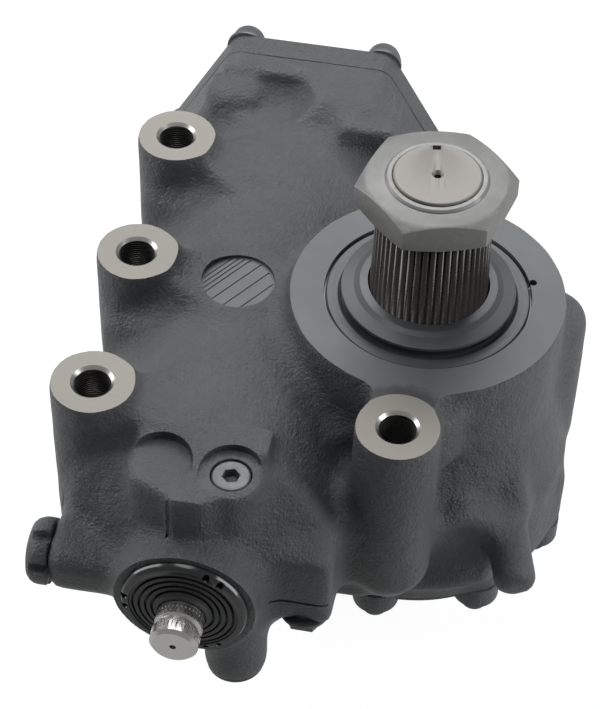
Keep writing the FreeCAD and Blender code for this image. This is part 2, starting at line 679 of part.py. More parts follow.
def sector_outline():
    """Closed wire of the sector: a round hub with five involute teeth that point to -X."""
    pitch = num("sector_pitch")
    teeth = int(num("sector_teeth"))
    module = 2 * pitch / teeth
    angle = math.radians(num("pressure_angle"))
    base = pitch * math.cos(angle)
    tip = pitch + num("addendum_share") * module
    root = pitch - num("dedendum_share") * module
    half = math.pi / (2 * teeth) - num("flank_gap") / pitch / math.cos(angle)
    start = max(base, root)

    def flank(centre, side):
        points = []
        for step in range(5):
            radius = start + (tip - start) * step / 4
            turn = side * (half + involute(base, pitch) - involute(base, radius))
            points.append(V(radius * math.cos(centre + turn), radius * math.sin(centre + turn), 0))
        return points

    def on_circle(radius, turn):
        return V(radius * math.cos(turn), radius * math.sin(turn), 0)

    edges = []
    centres = [math.pi + 2 * math.pi * number / teeth for number in (-2, -1, 0, 1, 2)]
    foot = half + involute(base, pitch)
    for number, centre in enumerate(centres):
        rise = flank(centre, -1)
        fall = flank(centre, 1)
        fall.reverse()
        if start > root + 0.01:
            edges.append(Part.LineSegment(on_circle(root, centre - foot), rise[0]).toShape())
        edges.append(curve_through(rise))
        edges.append(Part.Arc(rise[-1], on_circle(tip, centre), fall[0]).toShape())
        edges.append(curve_through(fall))
        if start > root + 0.01:
            edges.append(Part.LineSegment(fall[-1], on_circle(root, centre + foot)).toShape())
        follow = centres[number + 1] if number < 4 else centres[0] + 2 * math.pi
        middle = (centre + follow) / 2
        floor = Part.Arc(on_circle(root, centre + foot), on_circle(root, middle),
                         on_circle(root, follow - foot))
        edges.append(floor.toShape())
    return Part.Wire(edges)


def curve_through(points):
    curve = Part.BSplineCurve()
    curve.interpolate(points)
    return curve.toShape()


def star(radius, depth, teeth, level):
    """A wire of trapezoid teeth on a circle, for splines and serrations."""
    points = []
    pitch = 2 * math.pi / teeth
    for number in range(teeth):
        for share, reach in ((-0.3, radius), (0.3, radius), (0.42, radius - depth), (0.58, radius - depth)):
            turn = pitch * (number + share)
            points.append(V(reach * math.cos(turn), reach * math.sin(turn), level))
    return Part.makePolygon(points + points[:1])


def sector_shaft():
    """Output shaft: lower journal, sector gear, upper journal, tapered splines and thread."""
    core = revolved("sector_core", [
        ("0", "-shaft_bottom + 14"), ("14", "-shaft_bottom + 14"), ("14", "-shaft_bottom"),
        ("lower_journal - 1.5", "-shaft_bottom"), ("lower_journal", "-shaft_bottom + 1.5"),
        ("lower_journal", "-worm_depth - gear_half_width"),
        ("journal_radius", "-worm_depth - gear_half_width"),
        ("journal_radius", "0"), ("spline_base + 0.2", "spline_start - 4"),
        ("shaft_thread - 1", "spline_start - 4"),
        ("shaft_thread - 1", "spline_end + 4"),
        ("shaft_thread", "spline_end + 5"), ("shaft_thread", "shaft_end - 1.2"),
        ("shaft_thread - 1.2", "shaft_end"), ("0", "shaft_end")])
    gear_face = Part.Face(sector_outline())
    half = num("gear_half_width")
    gear = solid("sector_gear", gear_face.extrude(V(0, 0, 2 * half)))
    place(gear, ("0", "0", "-worm_depth - gear_half_width"))
    teeth = int(num("spline_teeth"))
    depth = num("spline_depth")
    low = star(num("spline_base"), depth, teeth, num("spline_start - 5"))
    high = star(num("spline_tip"), depth, teeth, num("spline_end"))
    splines = solid("sector_splines", Part.makeLoft([low, high], True, True))
    notch = Part.makeBox(4, 5, 5, V(-2, num("shaft_thread") - 4.4, num("shaft_end") - 4))
    slot = solid("key_notch", turned_about(notch, V(0, 0, 0), V(0, 0, 1), 9.5))
    return cut("sector_shaft", fuse("sector_blank", [core, gear, splines]), slot)


def pitman_nut():
    """Hexagon nut with chamfered corners and a locking collar."""
    prism = hexagon_over("nut_prism", "nut_flats", "nut_top - nut_bottom", ("0", "0", "nut_bottom"), UP,
                         "nut_turn")
    corner = "nut_flats / sqrt(3)"
    turned = revolved("nut_turned", [
        ("shaft_thread + fit_gap", "nut_bottom"), ("nut_flats / 2 - 0.6", "nut_bottom"),
        (corner + " + 0.6", "nut_bottom + 2.6"), (corner + " + 0.6", "nut_top - 3.8"),
        ("nut_flats / 2 - 1", "nut_top"), ("shaft_thread + fit_gap", "nut_top")])
    collar = revolved("nut_collar", [
        ("shaft_thread + fit_gap", "nut_top - 1"), ("shaft_thread + 3.6", "nut_top - 1"),
        ("shaft_thread + 3.4", "nut_top + 0.4"), ("shaft_thread + 2.2", "nut_top + 1.4"),
        ("shaft_thread + fit_gap", "nut_top + 1.4")])
    return fuse("pitman_nut", [common("nut_hexagon", prism, turned), collar])


def rings():
    """Turned rings and seals about the sector shaft."""
    revolved("sector_dust_ring", [
        ("journal_radius + 0.3", "0.6"), ("journal_radius + 6", "0.2"), ("journal_radius + 6", "2.2"),
        ("dust_lip - 0.8", "2.9"), ("dust_lip", "3.4"), ("dust_lip - 0.3", "4.6"),
        ("journal_radius + 5", "6.4"), ("journal_radius + 2", "7.6"), ("spline_base + 0.9", "8.4"),
        ("spline_base + 0.9", "6.4"), ("journal_radius + 0.3", "2")])
    revolved("sector_seal_carrier", [
        ("journal_radius + 4", "-seal_depth + 7"), ("seal_bore - 0.7", "-seal_depth + 7"),
        ("seal_bore - 0.7", "-2"), ("seal_bore - 1.5", "-1.2"), ("dust_lip + 1.5", "-1.2"),
        ("dust_lip - 0.5", "-2.4"), ("journal_radius + 8.5", "-2.4"), ("journal_radius + 8.5", "-4"),
        ("journal_radius + 4", "-4")])
    revolved("sector_oil_seal", [
        ("journal_radius + fit_gap", "-seal_depth + 3"), ("journal_radius + 3", "-seal_depth + 0.5"),
        ("upper_race_radius + 6", "-seal_depth"), ("seal_bore - seat_gap", "-seal_depth"),
        ("seal_bore - seat_gap", "-seal_depth + 6.9"), ("journal_radius + 5", "-seal_depth + 6.9"),
        ("journal_radius + 4", "-seal_depth + 4.6"), ("journal_radius + fit_gap", "-seal_depth + 4")])
    low = num("-snap_top - snap_width") + 0.2
    ring = Part.makeCylinder(num("seal_bore + snap_depth") - 0.3, num("snap_width") - 0.4, V(0, 0, low))
    ring = ring.cut(Part.makeCylinder(num("seal_bore") - 0.65, 4, V(0, 0, low - 1)))
    gap = Part.makeBox(30, 14, 6, V(num("seal_bore") - 12, -7, low - 1))
    solid("sector_retaining_ring", ring.cut(turned_about(gap, V(0, 0, 0), V(0, 0, 1), num("snap_turn"))))


def needle_bearing(name, shaft, race, low, high, count):
    """Outer race and a ring of needles, as separate solids of one bearing."""
    needle = (race - shaft - 2.4) / 2
    outer = Part.makeCylinder(race, high - low, V(0, 0, low))
    outer = outer.cut(Part.makeCylinder(race - 2, high - low + 2, V(0, 0, low - 1)))
    roller = Part.makeCylinder(needle, high - low - 4, V(shaft + 0.15 + needle, 0, low + 2))
    rollers = []
    for number in range(count):
        rollers.append(turned_about(roller, V(0, 0, 0), V(0, 0, 1), 360.0 * number / count))
    return solid(name, Part.makeCompound([outer] + rollers))


def sector_bearings():
    """Needle bearings above and below the sector."""
    needle_bearing("sector_bearing_upper", num("journal_radius"), num("upper_race_radius"),
                   num("-chamber_top") + 2, num("-seal_depth") - 2, 16)
    needle_bearing("sector_bearing_lower", num("lower_journal"), num("lower_journal") + 7,
                   num("-shaft_bottom") + 2, num("-side_joint + side_spigot") - 2, 16)


def adjuster():
    """Screw that sets the mesh of sector and rack, its retainer in the shaft and its lock nut."""
    end = "-side_joint - side_plate - side_boss_depth"
    screw = revolved("adjuster_turned", [
        ("0", end + " - 20"), ("7", end + " - 20"), ("8", end + " - 19"), ("8", "-shaft_bottom - 0.4"),
        ("6.5", "-shaft_bottom"), ("6.5", "-shaft_bottom + 6.3"), ("12", "-shaft_bottom + 6.3"),
        ("12", "-shaft_bottom + 12"), ("0", "-shaft_bottom + 13.4")])
    socket = hexagon_over("adjuster_socket", "8", "8", ("0", "0", end + " - 21"))
    cut("adjusting_screw", screw, socket)
    nut = hexagon_over("adjuster_nut_prism", "24", "9", ("0", "0", end + " - 9"))
    cut("adjuster_lock_nut", nut, cylinder("adjuster_nut_bore", "8 + fit_gap", "12",
                                           ("0", "0", end + " - 10")))
    revolved("adjuster_retainer", [
        ("7", "-shaft_bottom + 0.4"), ("14 - seat_gap", "-shaft_bottom + 0.4"),
        ("14 - seat_gap", "-shaft_bottom + 5.8"),
        ("7", "-shaft_bottom + 5.8")])


def helix_groove(radius, circle, first, last):
    """A round-bottomed groove swept along the worm's helix between two places on its axis."""
    lead = num("lead")
    path = Part.makeHelix(lead, last - first, circle)
    turn = 360.0 * (first - num("-circuit_start")) / lead
    path.rotate(V(0, 0, 0), V(0, 0, 1), turn)
    start = math.radians(turn)
    centre = V(circle * math.cos(start), circle * math.sin(start), 0)
    slope = math.atan2(lead, 2 * math.pi * circle)
    along = V(-math.sin(start) * math.cos(slope), math.cos(start) * math.cos(slope), math.sin(slope))
    section = Part.Wire(Part.Circle(centre, along, radius).toShape())
    groove = Part.Wire(path).makePipeShell([section], True, True)
    groove.Placement = FreeCAD.Placement(V(num("-centre_distance"), first, num("-worm_depth")), ALONG_Y)
    return groove


def rack_piston():
    """Piston with the rack on its sector side and the nut of the ball screw inside."""
    turned = revolved("piston_turned", [
        ("piston_recess", "-piston_front"), ("bore_radius - 3", "-piston_front"),
        ("bore_radius - fit_gap", "-piston_front + 3"),
        ("bore_radius - fit_gap", "ring_place - ring_width / 2"),
        ("bore_radius - ring_depth", "ring_place - ring_width / 2"),
        ("bore_radius - ring_depth", "ring_place + ring_width / 2"),
        ("bore_radius - fit_gap", "ring_place + ring_width / 2"),
        ("bore_radius - fit_gap", "piston_back - 2"),
        ("bore_radius - 2", "piston_back"), ("30", "piston_back"), ("24", "piston_back - 8"),
        ("0", "piston_back - 8"),
        ("0", "piston_blind"), ("nut_radius", "piston_blind - 6"),
        ("nut_radius", "-piston_front + piston_recess_depth"),
        ("piston_recess", "-piston_front + piston_recess_depth")], WORM, "Y")
    pitch = num("sector_pitch")
    module = 2 * pitch / num("sector_teeth")
    slope = math.tan(math.radians(num("pressure_angle")))
    tip_line = -pitch + num("addendum_share") * module
    root_line = -pitch - num("dedendum_share") * module
    step = math.pi * module
    reach = num("bore_radius")
    low = num("-worm_depth") - reach
    edge = num("bore_radius - centre_distance") + 2
    outer = step / 4 + (edge + pitch) * slope
    inner = step / 4 + (root_line + pitch) * slope
    spaces = []
    for number in (-2, -1, 0, 1, 2):
        points = [V(edge, number * step - outer, low), V(root_line, number * step - inner, low),
                  V(root_line, number * step + inner, low), V(edge, number * step + outer, low)]
        spaces.append(Part.Face(Part.makePolygon(points + points[:1])).extrude(V(0, 0, 2 * reach)))
    flat = Part.makeBox(reach, 5.6 * step, 2 * reach, V(tip_line, -2.8 * step, low))
    rack = solid("rack_spaces", flat.multiFuse(spaces).removeSplitter())
    groove = helix_groove(num("ball_radius + groove_gap"), num("ball_circle"), circuit_end(0), circuit_end(1))
    return cut("rack_piston", turned, fuse("piston_cuts", [rack, solid("nut_groove", groove), tube_pocket()]))


def circuit_end(which):
    """Place on the worm's axis of one leg of the return tube, half a turn past the sector side."""
    return num("-circuit_start") + num("lead") * (0.5 + which * num("circuit_turns"))


def tube_pocket():
    """Pocket in the piston's left side for the ball return tube, with the holes for its legs."""
    first = circuit_end(0)
    last = circuit_end(1)
    reach = num("bore_radius")
    level = num("-worm_depth")
    floor = num("-centre_distance - tube_floor")
    leg = num("tube_radius + seat_gap")
    pocket = Part.makeBox(reach, last - first + 18, 26, V(floor - reach, first - 9, level - 13))
    drilled = [Part.makeCylinder(leg, 14, V(floor, along, level), V(1, 0, 0)) for along in (first, last)]
    for side in (-1, 1):
        spot = V(floor, (first + last) / 2, level + side * num("strap_screw"))
        drilled.append(Part.makeCylinder(1.6, 9, spot, V(1, 0, 0)))
    return solid("tube_pocket", pocket.multiFuse(drilled))


def tube_path(root, crest, first, last, level):
    """Centre line of the return tube: two legs, two quarter bends and a straight run."""
    bend = num("tube_bend")
    corner = bend * (1 - math.sqrt(0.5))
    knee = crest + bend
    inside = crest + corner
    front_bend = Part.Arc(V(knee, first, level), V(inside, first + corner, level),
                          V(crest, first + bend, level))
    back_bend = Part.Arc(V(crest, last - bend, level), V(inside, last - corner, level), V(knee, last, level))
    return Part.Wire([
        Part.LineSegment(V(root, first, level), V(knee, first, level)).toShape(), front_bend.toShape(),
        Part.LineSegment(V(crest, first + bend, level), V(crest, last - bend, level)).toShape(),
        back_bend.toShape(),
        Part.LineSegment(V(knee, last, level), V(root, last, level)).toShape()])


def return_tube():
    """U-shaped tube that brings the balls back, and the strap and screws that hold it."""
    first = circuit_end(0)
    last = circuit_end(1)
    level = num("-worm_depth")
    root = num("-centre_distance - nut_radius") - 0.4
    crest = num("-centre_distance - tube_reach")
    path = tube_path(root, crest, first, last, level)

    def pipe(radius):
        section = Part.Wire(Part.Circle(V(root, first, level), V(-1, 0, 0), radius).toShape())
        return path.makePipeShell([section], True, False)

    outer = num("tube_radius")
    solid("ball_return_tube", pipe(outer).cut(pipe(num("ball_radius") + 0.35)))
    middle = (first + last) / 2
    back = crest - outer
    strap = Part.makeBox(2, 9, 24, V(back - 2, middle - 4.5, level - 12))
    screws = []
    for side in (-1, 1):
        spot = V(back - 2, middle, level + side * num("strap_screw"))
        strap = strap.cut(Part.makeCylinder(1.7, 4, spot + V(-1, 0, 0), V(1, 0, 0)))
        shank = Part.makeCylinder(1.58, num("-centre_distance - tube_floor") + 10 - back, spot, V(1, 0, 0))
        screws.append(shank.fuse(Part.makeCylinder(2.4, 2, spot, V(-1, 0, 0))).removeSplitter())
    solid("return_tube_clamp", strap)
    solid("return_tube_screws", Part.makeCompound(screws))


def ball_set():
    """Balls in the nut's groove, each on the helix between the legs of the return tube."""
    balls = []
    span = 360 * num("circuit_turns")
    spare = (span - num("ball_step") * (num("ball_count") - 1)) / 2
    for number in range(int(num("ball_count"))):
        turn = 180 + spare + num("ball_step") * number
        along = num("-circuit_start") + turn / 360 * num("lead")
        angle = math.radians(turn)
        centre = V(num("-centre_distance") + num("ball_circle") * math.cos(angle), along,
                   num("-worm_depth") - num("ball_circle") * math.sin(angle))
        balls.append(Part.makeSphere(num("ball_radius"), centre))
    return solid("ball_set", Part.makeCompound(balls))


def piston_ring():
    """Sealing ring of the piston."""
    inside = "bore_radius - ring_depth + 0.1"
    outside = "bore_radius - seat_gap"
    low = "ring_place - ring_width / 2 + seat_gap"
    high = "ring_place + ring_width / 2 - seat_gap"
    return revolved("piston_ring", [(inside, low), (outside, low), (outside, high), (inside, high)], WORM,
                    "Y")


def worm():
    """Worm with its ball groove, thrust flange and the hollow head that holds the valve."""
    shoulder = "-bore_front - front_wall - 5"
    turned = revolved("worm_turned", [
        ("torsion_radius + 0.3", "worm_back"), ("worm_tip_radius", "worm_back"),
        ("worm_tip_radius", "worm_back - worm_tip_length"), ("worm_radius", "worm_back - worm_tip_length"),
        ("worm_radius", "-thread_front"), ("worm_radius - 3.4", "-thread_front - 2"),
        ("worm_radius - 3.4", "-worm_head_back"), ("worm_head_radius", "-worm_head_back"),
        ("worm_head_radius", shoulder), ("valve_bore - running_gap", shoulder),
        ("valve_bore - running_gap", shoulder + " - 12"), ("sleeve_radius", shoulder + " - 12"),
        ("sleeve_radius", "-rotor_end + 1"), ("torsion_radius + 0.3", "-rotor_end + 1")], WORM, "Y")
    first = num("-thread_front") - 4
    last = num("worm_back - worm_tip_length") - 4
    ball_track = helix_groove(num("ball_radius + groove_gap"), num("ball_circle"), first, last)
    groove = solid("worm_groove", ball_track)
    pin_hole = cylinder("worm_pin_hole", "pin_radius", "2 * worm_radius + 2",
                        ("-centre_distance", "worm_back - back_pin", "-worm_depth - worm_radius - 1"))
    return cut("worm", cut("worm_threaded", turned, groove), pin_hole)


def worm_pivot():
    """A point on the worm's axis."""
    return point(WORM)


def round_worm(shape, count, start=0):
    """Copies of a shape at even angles about the worm's axis."""
    return Part.makeCompound([turned_about(shape, worm_pivot(), V(0, 1, 0), start + 360 * index / count)
                              for index in range(count)])


def valve_sleeve():
    """Sleeve of the rotary valve, with its control slots."""
    outside = "sleeve_radius - seat_gap"
    inside = "valve_radius + fit_gap"
    sleeve = revolved("sleeve_turned", [
        (inside, "-sleeve_front"), (outside, "-sleeve_front"), (outside, "-rotor_end"),
        (inside, "-rotor_end")],
        WORM, "Y")
    slot = Part.makeBox(4, num("slot_length") + 2, 2.2,
                        worm_pivot() + V(-2, -num("slot_front") - 1, num("valve_radius") - 0.6))
    return cut("valve_sleeve", sleeve, solid("sleeve_slots", round_worm(slot, 4, 45)))


def input_shaft():
    """Serrated input shaft, with the rotor of the valve at its inner end."""
    plain = "input_radius - serration_depth"
    shaft = revolved("input_turned", [
        ("torsion_radius + 0.1", "-rotor_end - 0.5"), ("valve_radius", "-rotor_end - 0.5"),
        ("valve_radius", "-168"),
        (plain, "-168.5"), (plain, "-172"), ("input_groove", "-173"), ("input_groove", "-175.5"),
        (plain, "-176.5"),
        (plain, "-180.5"), ("input_radius", "-180.6"), ("input_radius", "-input_end + edge_break + 0.3"),
        ("input_radius - edge_break - 0.3", "-input_end"), ("1.6", "-input_end"), ("1.6", "-input_end + 5"),
        ("0", "-input_end + 6"), ("0", "-input_end + 12"), ("torsion_radius + 0.1", "-input_end + 12")],
        WORM, "Y")
    zones = []
    for start, end in ((-171.8, -166.5), (-181, -176.7)):
        teeth = star(num("input_radius"), num("serration_depth"), int(num("serrations")), 0)
        zone = Part.Face(teeth).extrude(V(0, 0, end - start))
        zone = zone.cut(Part.makeCylinder(num("input_groove") - 0.6, 40, V(0, 0, -1)))
        zone.Placement = FreeCAD.Placement(worm_pivot() + V(0, start, 0), ALONG_Y)
        zones.append(zone)
    groove = Part.makeBox(3.6, num("slot_length"), 2,
                          worm_pivot() + V(-1.8, -num("slot_front"), num("valve_radius") - 1.4))
    cross = cylinder("input_pin_hole", "pin_radius", "2 * valve_radius + 2",
                     ("-centre_distance", "-front_pin", "-worm_depth - valve_radius - 1"))
    blank = fuse("input_blank", [shaft, solid("serrated_zones", Part.makeCompound(zones))])
    rotor_grooves = solid("rotor_grooves", round_worm(groove, 4))
    return cut("input_shaft", blank, fuse("input_cuts", [cross, rotor_grooves]))


def torsion_bar():
    """Bar that twists between the input shaft and the worm, with its two pins."""
    back = "worm_back - 0.5"
    front = "-input_end + 13"
    bar = revolved("torsion_turned", [
        ("0", back), ("torsion_radius", back), ("torsion_radius", "worm_back - 10"),
        ("torsion_waist", "worm_back - 14"),
        ("torsion_waist", "-148"), ("torsion_radius", "-152"), ("torsion_radius", front), ("0", front)],
        WORM, "Y")
    back_pin = ("-centre_distance", "worm_back - back_pin", "-worm_depth - 15")
    front_pin = ("-centre_distance", "-front_pin", "-worm_depth - 15")
    holes = [cylinder("bar_back_hole", "pin_radius", "30", back_pin),
             cylinder("bar_front_hole", "pin_radius + 0.45", "30", front_pin)]
    cut("torsion_bar", bar, fuse("bar_holes", holes))
    cylinder("torsion_pin_front", "pin_radius - seat_gap", "2 * valve_radius - 1",
             ("-centre_distance", "-front_pin", "-worm_depth - valve_radius + 0.5"))
    cylinder("torsion_pin_back", "pin_radius - seat_gap", "2 * worm_tip_radius - 1",
             ("-centre_distance", "worm_back - back_pin", "-worm_depth - worm_tip_radius + 0.5"))


def thrust_bearing(name, inner, outer, start, length, count):
    """Two washers with balls between them, as separate solids."""
    thick = 1.0
    pieces = []
    for low in (start, start + length - thick):
        washer = Part.makeCylinder(outer, thick, V(0, 0, low))
        pieces.append(washer.cut(Part.makeCylinder(inner, 4, V(0, 0, low - 1))))
    reach = (inner + outer) / 2
    ball = Part.makeSphere(length / 2 - thick - 0.1, V(reach, 0, start + length / 2))
    pieces += [turned_about(ball, V(0, 0, 0), V(0, 0, 1), 360 * number / count) for number in range(count)]
    group = Part.makeCompound(pieces)
    group.Placement = FreeCAD.Placement(worm_pivot(), ALONG_Y)
    return solid(name, group)


def worm_bearings():
    """Thrust bearings on both sides of the worm's flange."""
    face = num("-bore_front - front_wall")
    outer = num("valve_bore - seat_gap")
    thrust_bearing("worm_bearing_inner", num("worm_head_radius") + 0.2, outer, face - 4.98, 4.96, 12)
    thrust_bearing("worm_bearing_outer", num("worm_head_radius") - 4, outer, face - 21.98, 4.96, 12)


def input_ring_nut():
    """Ring nut that closes the input head, with three pairs of spanner notches."""
    turned = revolved("ring_nut_turned", [
        ("20", "-head_front + nut_bore_depth"), ("nut_bore - seat_gap", "-head_front + nut_bore_depth"),
        ("nut_bore - seat_gap", "-head_front - 2"), ("nut_bore - 1.5", "-head_front - 4"),
        ("nut_bore - 4.5", "-head_front - 4"), ("nut_bore - 4.5", "-head_front + 2.5"),
        ("20", "-head_front + 2.5")],
        WORM, "Y")
    reach = num("nut_bore") - 2.1
    notch = Part.makeCylinder(1.9, 5, worm_pivot() + V(reach, num("-head_front") - 5.5, 0), V(0, 1, 0))
    notches = [round_worm(notch, 3, -52), round_worm(notch, 3, -67)]
    return cut("input_ring_nut", turned, solid("spanner_notches", Part.makeCompound(notches)))


def input_seal():
    """Lip seal between the ring nut and the input shaft."""
    lip = "valve_radius + fit_gap"
    outside = "20 - seat_gap"
    return revolved("input_seal", [
        (lip, "-head_front + 6"), ("valve_radius + 3", "-head_front + 3.2"), (outside, "-head_front + 3.2"),
        (outside, "-head_front + 10"), ("valve_radius + 4", "-head_front + 10"),
        ("valve_radius + 4", "-head_front + 7.6"), (lip, "-head_front + 7")], WORM, "Y")


def input_dust_boot():
    """Corrugated rubber boot round the input shaft, with four round folds."""
    rim = "nut_bore - 4.6"
    points = [("valve_radius + running_gap", "-head_front + 2"), (rim, "-head_front + 2"),
              (rim, "-head_front - 3.6")]
    for number in range(4):
        outer = "nut_bore - %g" % (6.0 + 3.3 * number)
        inner = "nut_bore - %g" % (7.2 + 3.3 * number)
        rise = 0.35 * number
        floor = "-head_front - %g" % (1.4 + rise)
        points += [(outer, "-head_front - %g" % (3.6 + rise)), (outer, floor), (inner, floor),
                   (inner, "-head_front - %g" % (3.9 + rise))]
    points += [("valve_radius + 2.4", "-head_front - 5.2"), ("valve_radius + 1.2", "-head_front - 7.4"),
               ("valve_radius + running_gap", "-head_front - 7.4")]
    return revolved("input_dust_boot", points, WORM, "Y")


def limiter_screw():
    """Socket screw in the round boss beside the input head."""
    shank = "screw_bore - fit_gap"
    screw = revolved("limiter_turned", [
        ("0", "-28"), (shank, "-28"), (shank, "-8"), ("screw_head", "-8"), ("screw_head", "-1.4"),
        ("screw_head - 0.8", "-0.6"), ("0", "-0.6")], ("-plug_boss_x", "-plug_boss_y", "-pad_top"))
    socket = hexagon_over("limiter_socket", "screw_flats", "7",
                          ("-plug_boss_x", "-plug_boss_y", "-pad_top - 6"),
                          UP, "18")
    return cut("limiter_screw", screw, socket)


def pressure_port_plug():
    """Hexagon plug in the pressure port."""
    face = ("-port_end", "-port_y", "-port_z")
    shank = "port_bore - fit_gap"
    prism = hexagon_over("port_plug_hex", "port_flats", "12", ("-port_end - 13", "-port_y", "-port_z"),
                         ALONG_X)
    crown = turned_x("port_plug_turned", [
        ("-14", "0"), ("-14", "12"), ("-11", "17.6"), ("-0.4", "17.6"), ("-0.4", shank), ("26", shank),
        ("26", "0")],
        face)
    stem = turned_x("port_plug_stem", [
        ("-3", "0"), ("-3", "14.6"), ("-0.4", "14.6"), ("-0.4", shank), ("26", shank), ("26", "0")], face)
    return fuse("pressure_port_plug", [common("port_plug_head", prism, crown), stem])


def lower_plugs():
    """Hexagon plugs of the return port and of the relief valve, both put in from below."""
    for name, spot, radius, flats in (
            ("return_port_plug", ("-return_x", "-return_y", "-block_bottom"), "return_bore", "return_flats"),
            ("relief_valve_plug", ("-relief_x", "-relief_y", "-relief_bottom"), "relief_bore",
             "relief_flats")):
        shank = radius + " - fit_gap"
        flange = revolved(name + "_turned", [
            ("0", "-3"), (radius + " + 4.2", "-3"), (radius + " + 4.8", "-2.4"), (radius + " + 4.8", "-0.4"),
            (shank, "-0.4"), (shank, "20"), ("0", "20")], spot)
        head = hexagon_over(name + "_hex", flats, "6", spot[:2] + (spot[2] + " - 8",))
        fuse(name, [flange, head])


housing()
cylinder_cover()
cylinder_cover_bolts()
cylinder_cover_seal()
side_cover()
side_cover_bolts()
side_cover_seal()
sector_shaft()
pitman_nut()
rings()
sector_bearings()
adjuster()
rack_piston()
return_tube()
ball_set()
piston_ring()
worm()
valve_sleeve()
input_shaft()
torsion_bar()
worm_bearings()
input_ring_nut()
input_seal()
input_dust_boot()
limiter_screw()
pressure_port_plug()
lower_plugs()
doc.recompute()

NODES = [
    "housing", "cylinder_cover", "cylinder_cover_bolts", "cylinder_cover_seal", "side_cover",
    "side_cover_bolts", "side_cover_seal", "sector_shaft", "pitman_nut", "sector_dust_ring",
    "sector_seal_carrier", "sector_oil_seal", "sector_retaining_ring", "sector_bearing_upper",
    "sector_bearing_lower", "adjusting_screw", "adjuster_lock_nut", "adjuster_retainer", "rack_piston",
    "piston_ring", "ball_set", "ball_return_tube", "return_tube_clamp", "return_tube_screws", "worm",
    "valve_sleeve", "input_shaft", "torsion_bar", "torsion_pin_front", "torsion_pin_back",
    "worm_bearing_inner", "worm_bearing_outer", "input_ring_nut", "input_seal", "input_dust_boot",
    "limiter_screw", "pressure_port_plug", "return_port_plug", "relief_valve_plug",
]


LEAST_FILL = 0.03


def fill(shape):
    """The share of its own box that a shape fills, which drops to nothing where a cut has gone wrong."""
    room = shape.BoundBox
    return shape.Volume / (room.XLength * room.YLength * room.ZLength)


def check_and_export():
    """Stop on any failed feature, then write one file for each node."""
    for thing in doc.Objects:
        if "Invalid" in thing.State or "Error" in thing.State:
            raise RuntimeError(thing.Name + " has failed")
    if not doc.getObject("housing_cast").Shape.isValid():
        raise RuntimeError("the casting is not a valid solid")
    shapes = {}
    for name in NODES:
        shape = doc.getObject(name).Shape
        if shape.isNull() or not shape.isValid() or fill(shape) < LEAST_FILL:
            raise RuntimeError(name + " has no valid solid")
        shapes[name] = shape
    os.makedirs("parts", exist_ok=True)
    for name, shape in shapes.items():
        shape.exportStep("parts/" + name + ".step")
        print(name, len(shape.Solids), round(shape.Volume / 1000.0, 2))


check_and_export()
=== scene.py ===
import math

import bmesh
import bpy
import numpy as np
import openvdb
from mathutils import Matrix, Vector, noise


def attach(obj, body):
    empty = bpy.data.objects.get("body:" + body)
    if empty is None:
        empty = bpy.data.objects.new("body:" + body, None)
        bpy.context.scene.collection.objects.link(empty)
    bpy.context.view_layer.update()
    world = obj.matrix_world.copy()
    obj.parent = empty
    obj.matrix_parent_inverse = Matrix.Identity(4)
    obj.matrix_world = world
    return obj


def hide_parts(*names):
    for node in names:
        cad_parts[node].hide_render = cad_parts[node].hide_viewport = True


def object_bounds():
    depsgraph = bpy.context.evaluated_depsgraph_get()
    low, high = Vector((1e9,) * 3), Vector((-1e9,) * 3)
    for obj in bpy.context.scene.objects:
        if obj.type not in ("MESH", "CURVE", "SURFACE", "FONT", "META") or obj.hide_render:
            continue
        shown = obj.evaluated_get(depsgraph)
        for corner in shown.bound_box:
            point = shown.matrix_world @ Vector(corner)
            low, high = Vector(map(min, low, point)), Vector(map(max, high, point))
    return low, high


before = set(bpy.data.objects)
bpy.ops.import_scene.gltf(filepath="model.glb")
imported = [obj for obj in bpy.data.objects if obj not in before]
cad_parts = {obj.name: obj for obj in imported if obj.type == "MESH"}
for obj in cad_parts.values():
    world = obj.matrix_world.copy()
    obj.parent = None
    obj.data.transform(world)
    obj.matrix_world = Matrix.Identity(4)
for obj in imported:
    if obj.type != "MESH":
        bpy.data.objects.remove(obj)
CAD_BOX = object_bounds()

bl_info = {
    "name": "Steering gearbox looks",
    "version": (1, 0, 0),
    "blender": (4, 5, 0),
    "location": "View3D > Sidebar > Gearbox",
    "description": "Dresses the packed steering gearbox with cast, machined and rubber surfaces",
    "category": "Object",
}

# Lengths are in millimetres here and become metres when a mesh is made.
MM = 0.001

# A radius below this is on the axis, and points of a copied node nearer than that are one.
ON_AXIS = 1e-6
WELD = 0.002

# Part of a lobed cap's turn that stays at the full radius, as a cosine.
LOBE_WIDTH = 0.35

# Main layout of the gear, as the frame has it.
WORM_X = -93.0
WORM_Z = -80.0
BOSS_RADIUS = 21.5
BOSSES = ((-151.9, 92.5), (-151.9, 0.0), (-151.9, -93.3), (-1.0, -93.3))
COVER_JOINT = 172.0
SIDE_JOINT = -150.0
SIDE_PLATE = 14.0
HEAD_FRONT = -158.0
SCREW_BOSS = (-76.0, -126.0)
PAD_TOP = -15.0
PORT_AXIS = (-133.0, -88.0)
PORT_END = -166.0
RETURN_PORT = (-38.0, -127.0, -108.0)
RELIEF_PORT = (-72.0, -137.0, -140.0)
RELIEF_END = -146.0
TOWER_RADIUS = 71.0
DRUM_RADIUS = 80.9
HEAD_RADIUS = 36.5
STUB_RADIUS = 17.0
PAD_RADIUS = 15.5
COLUMN_RADIUS = 16.5
COVER_CORNER = 90.2
COVER_ROUND = 12.0
COVER_CIRCLE = 79.0
SIDE_CIRCLE = 71.0
SIDE_START = 38.0
RIB_REACH = 55.0

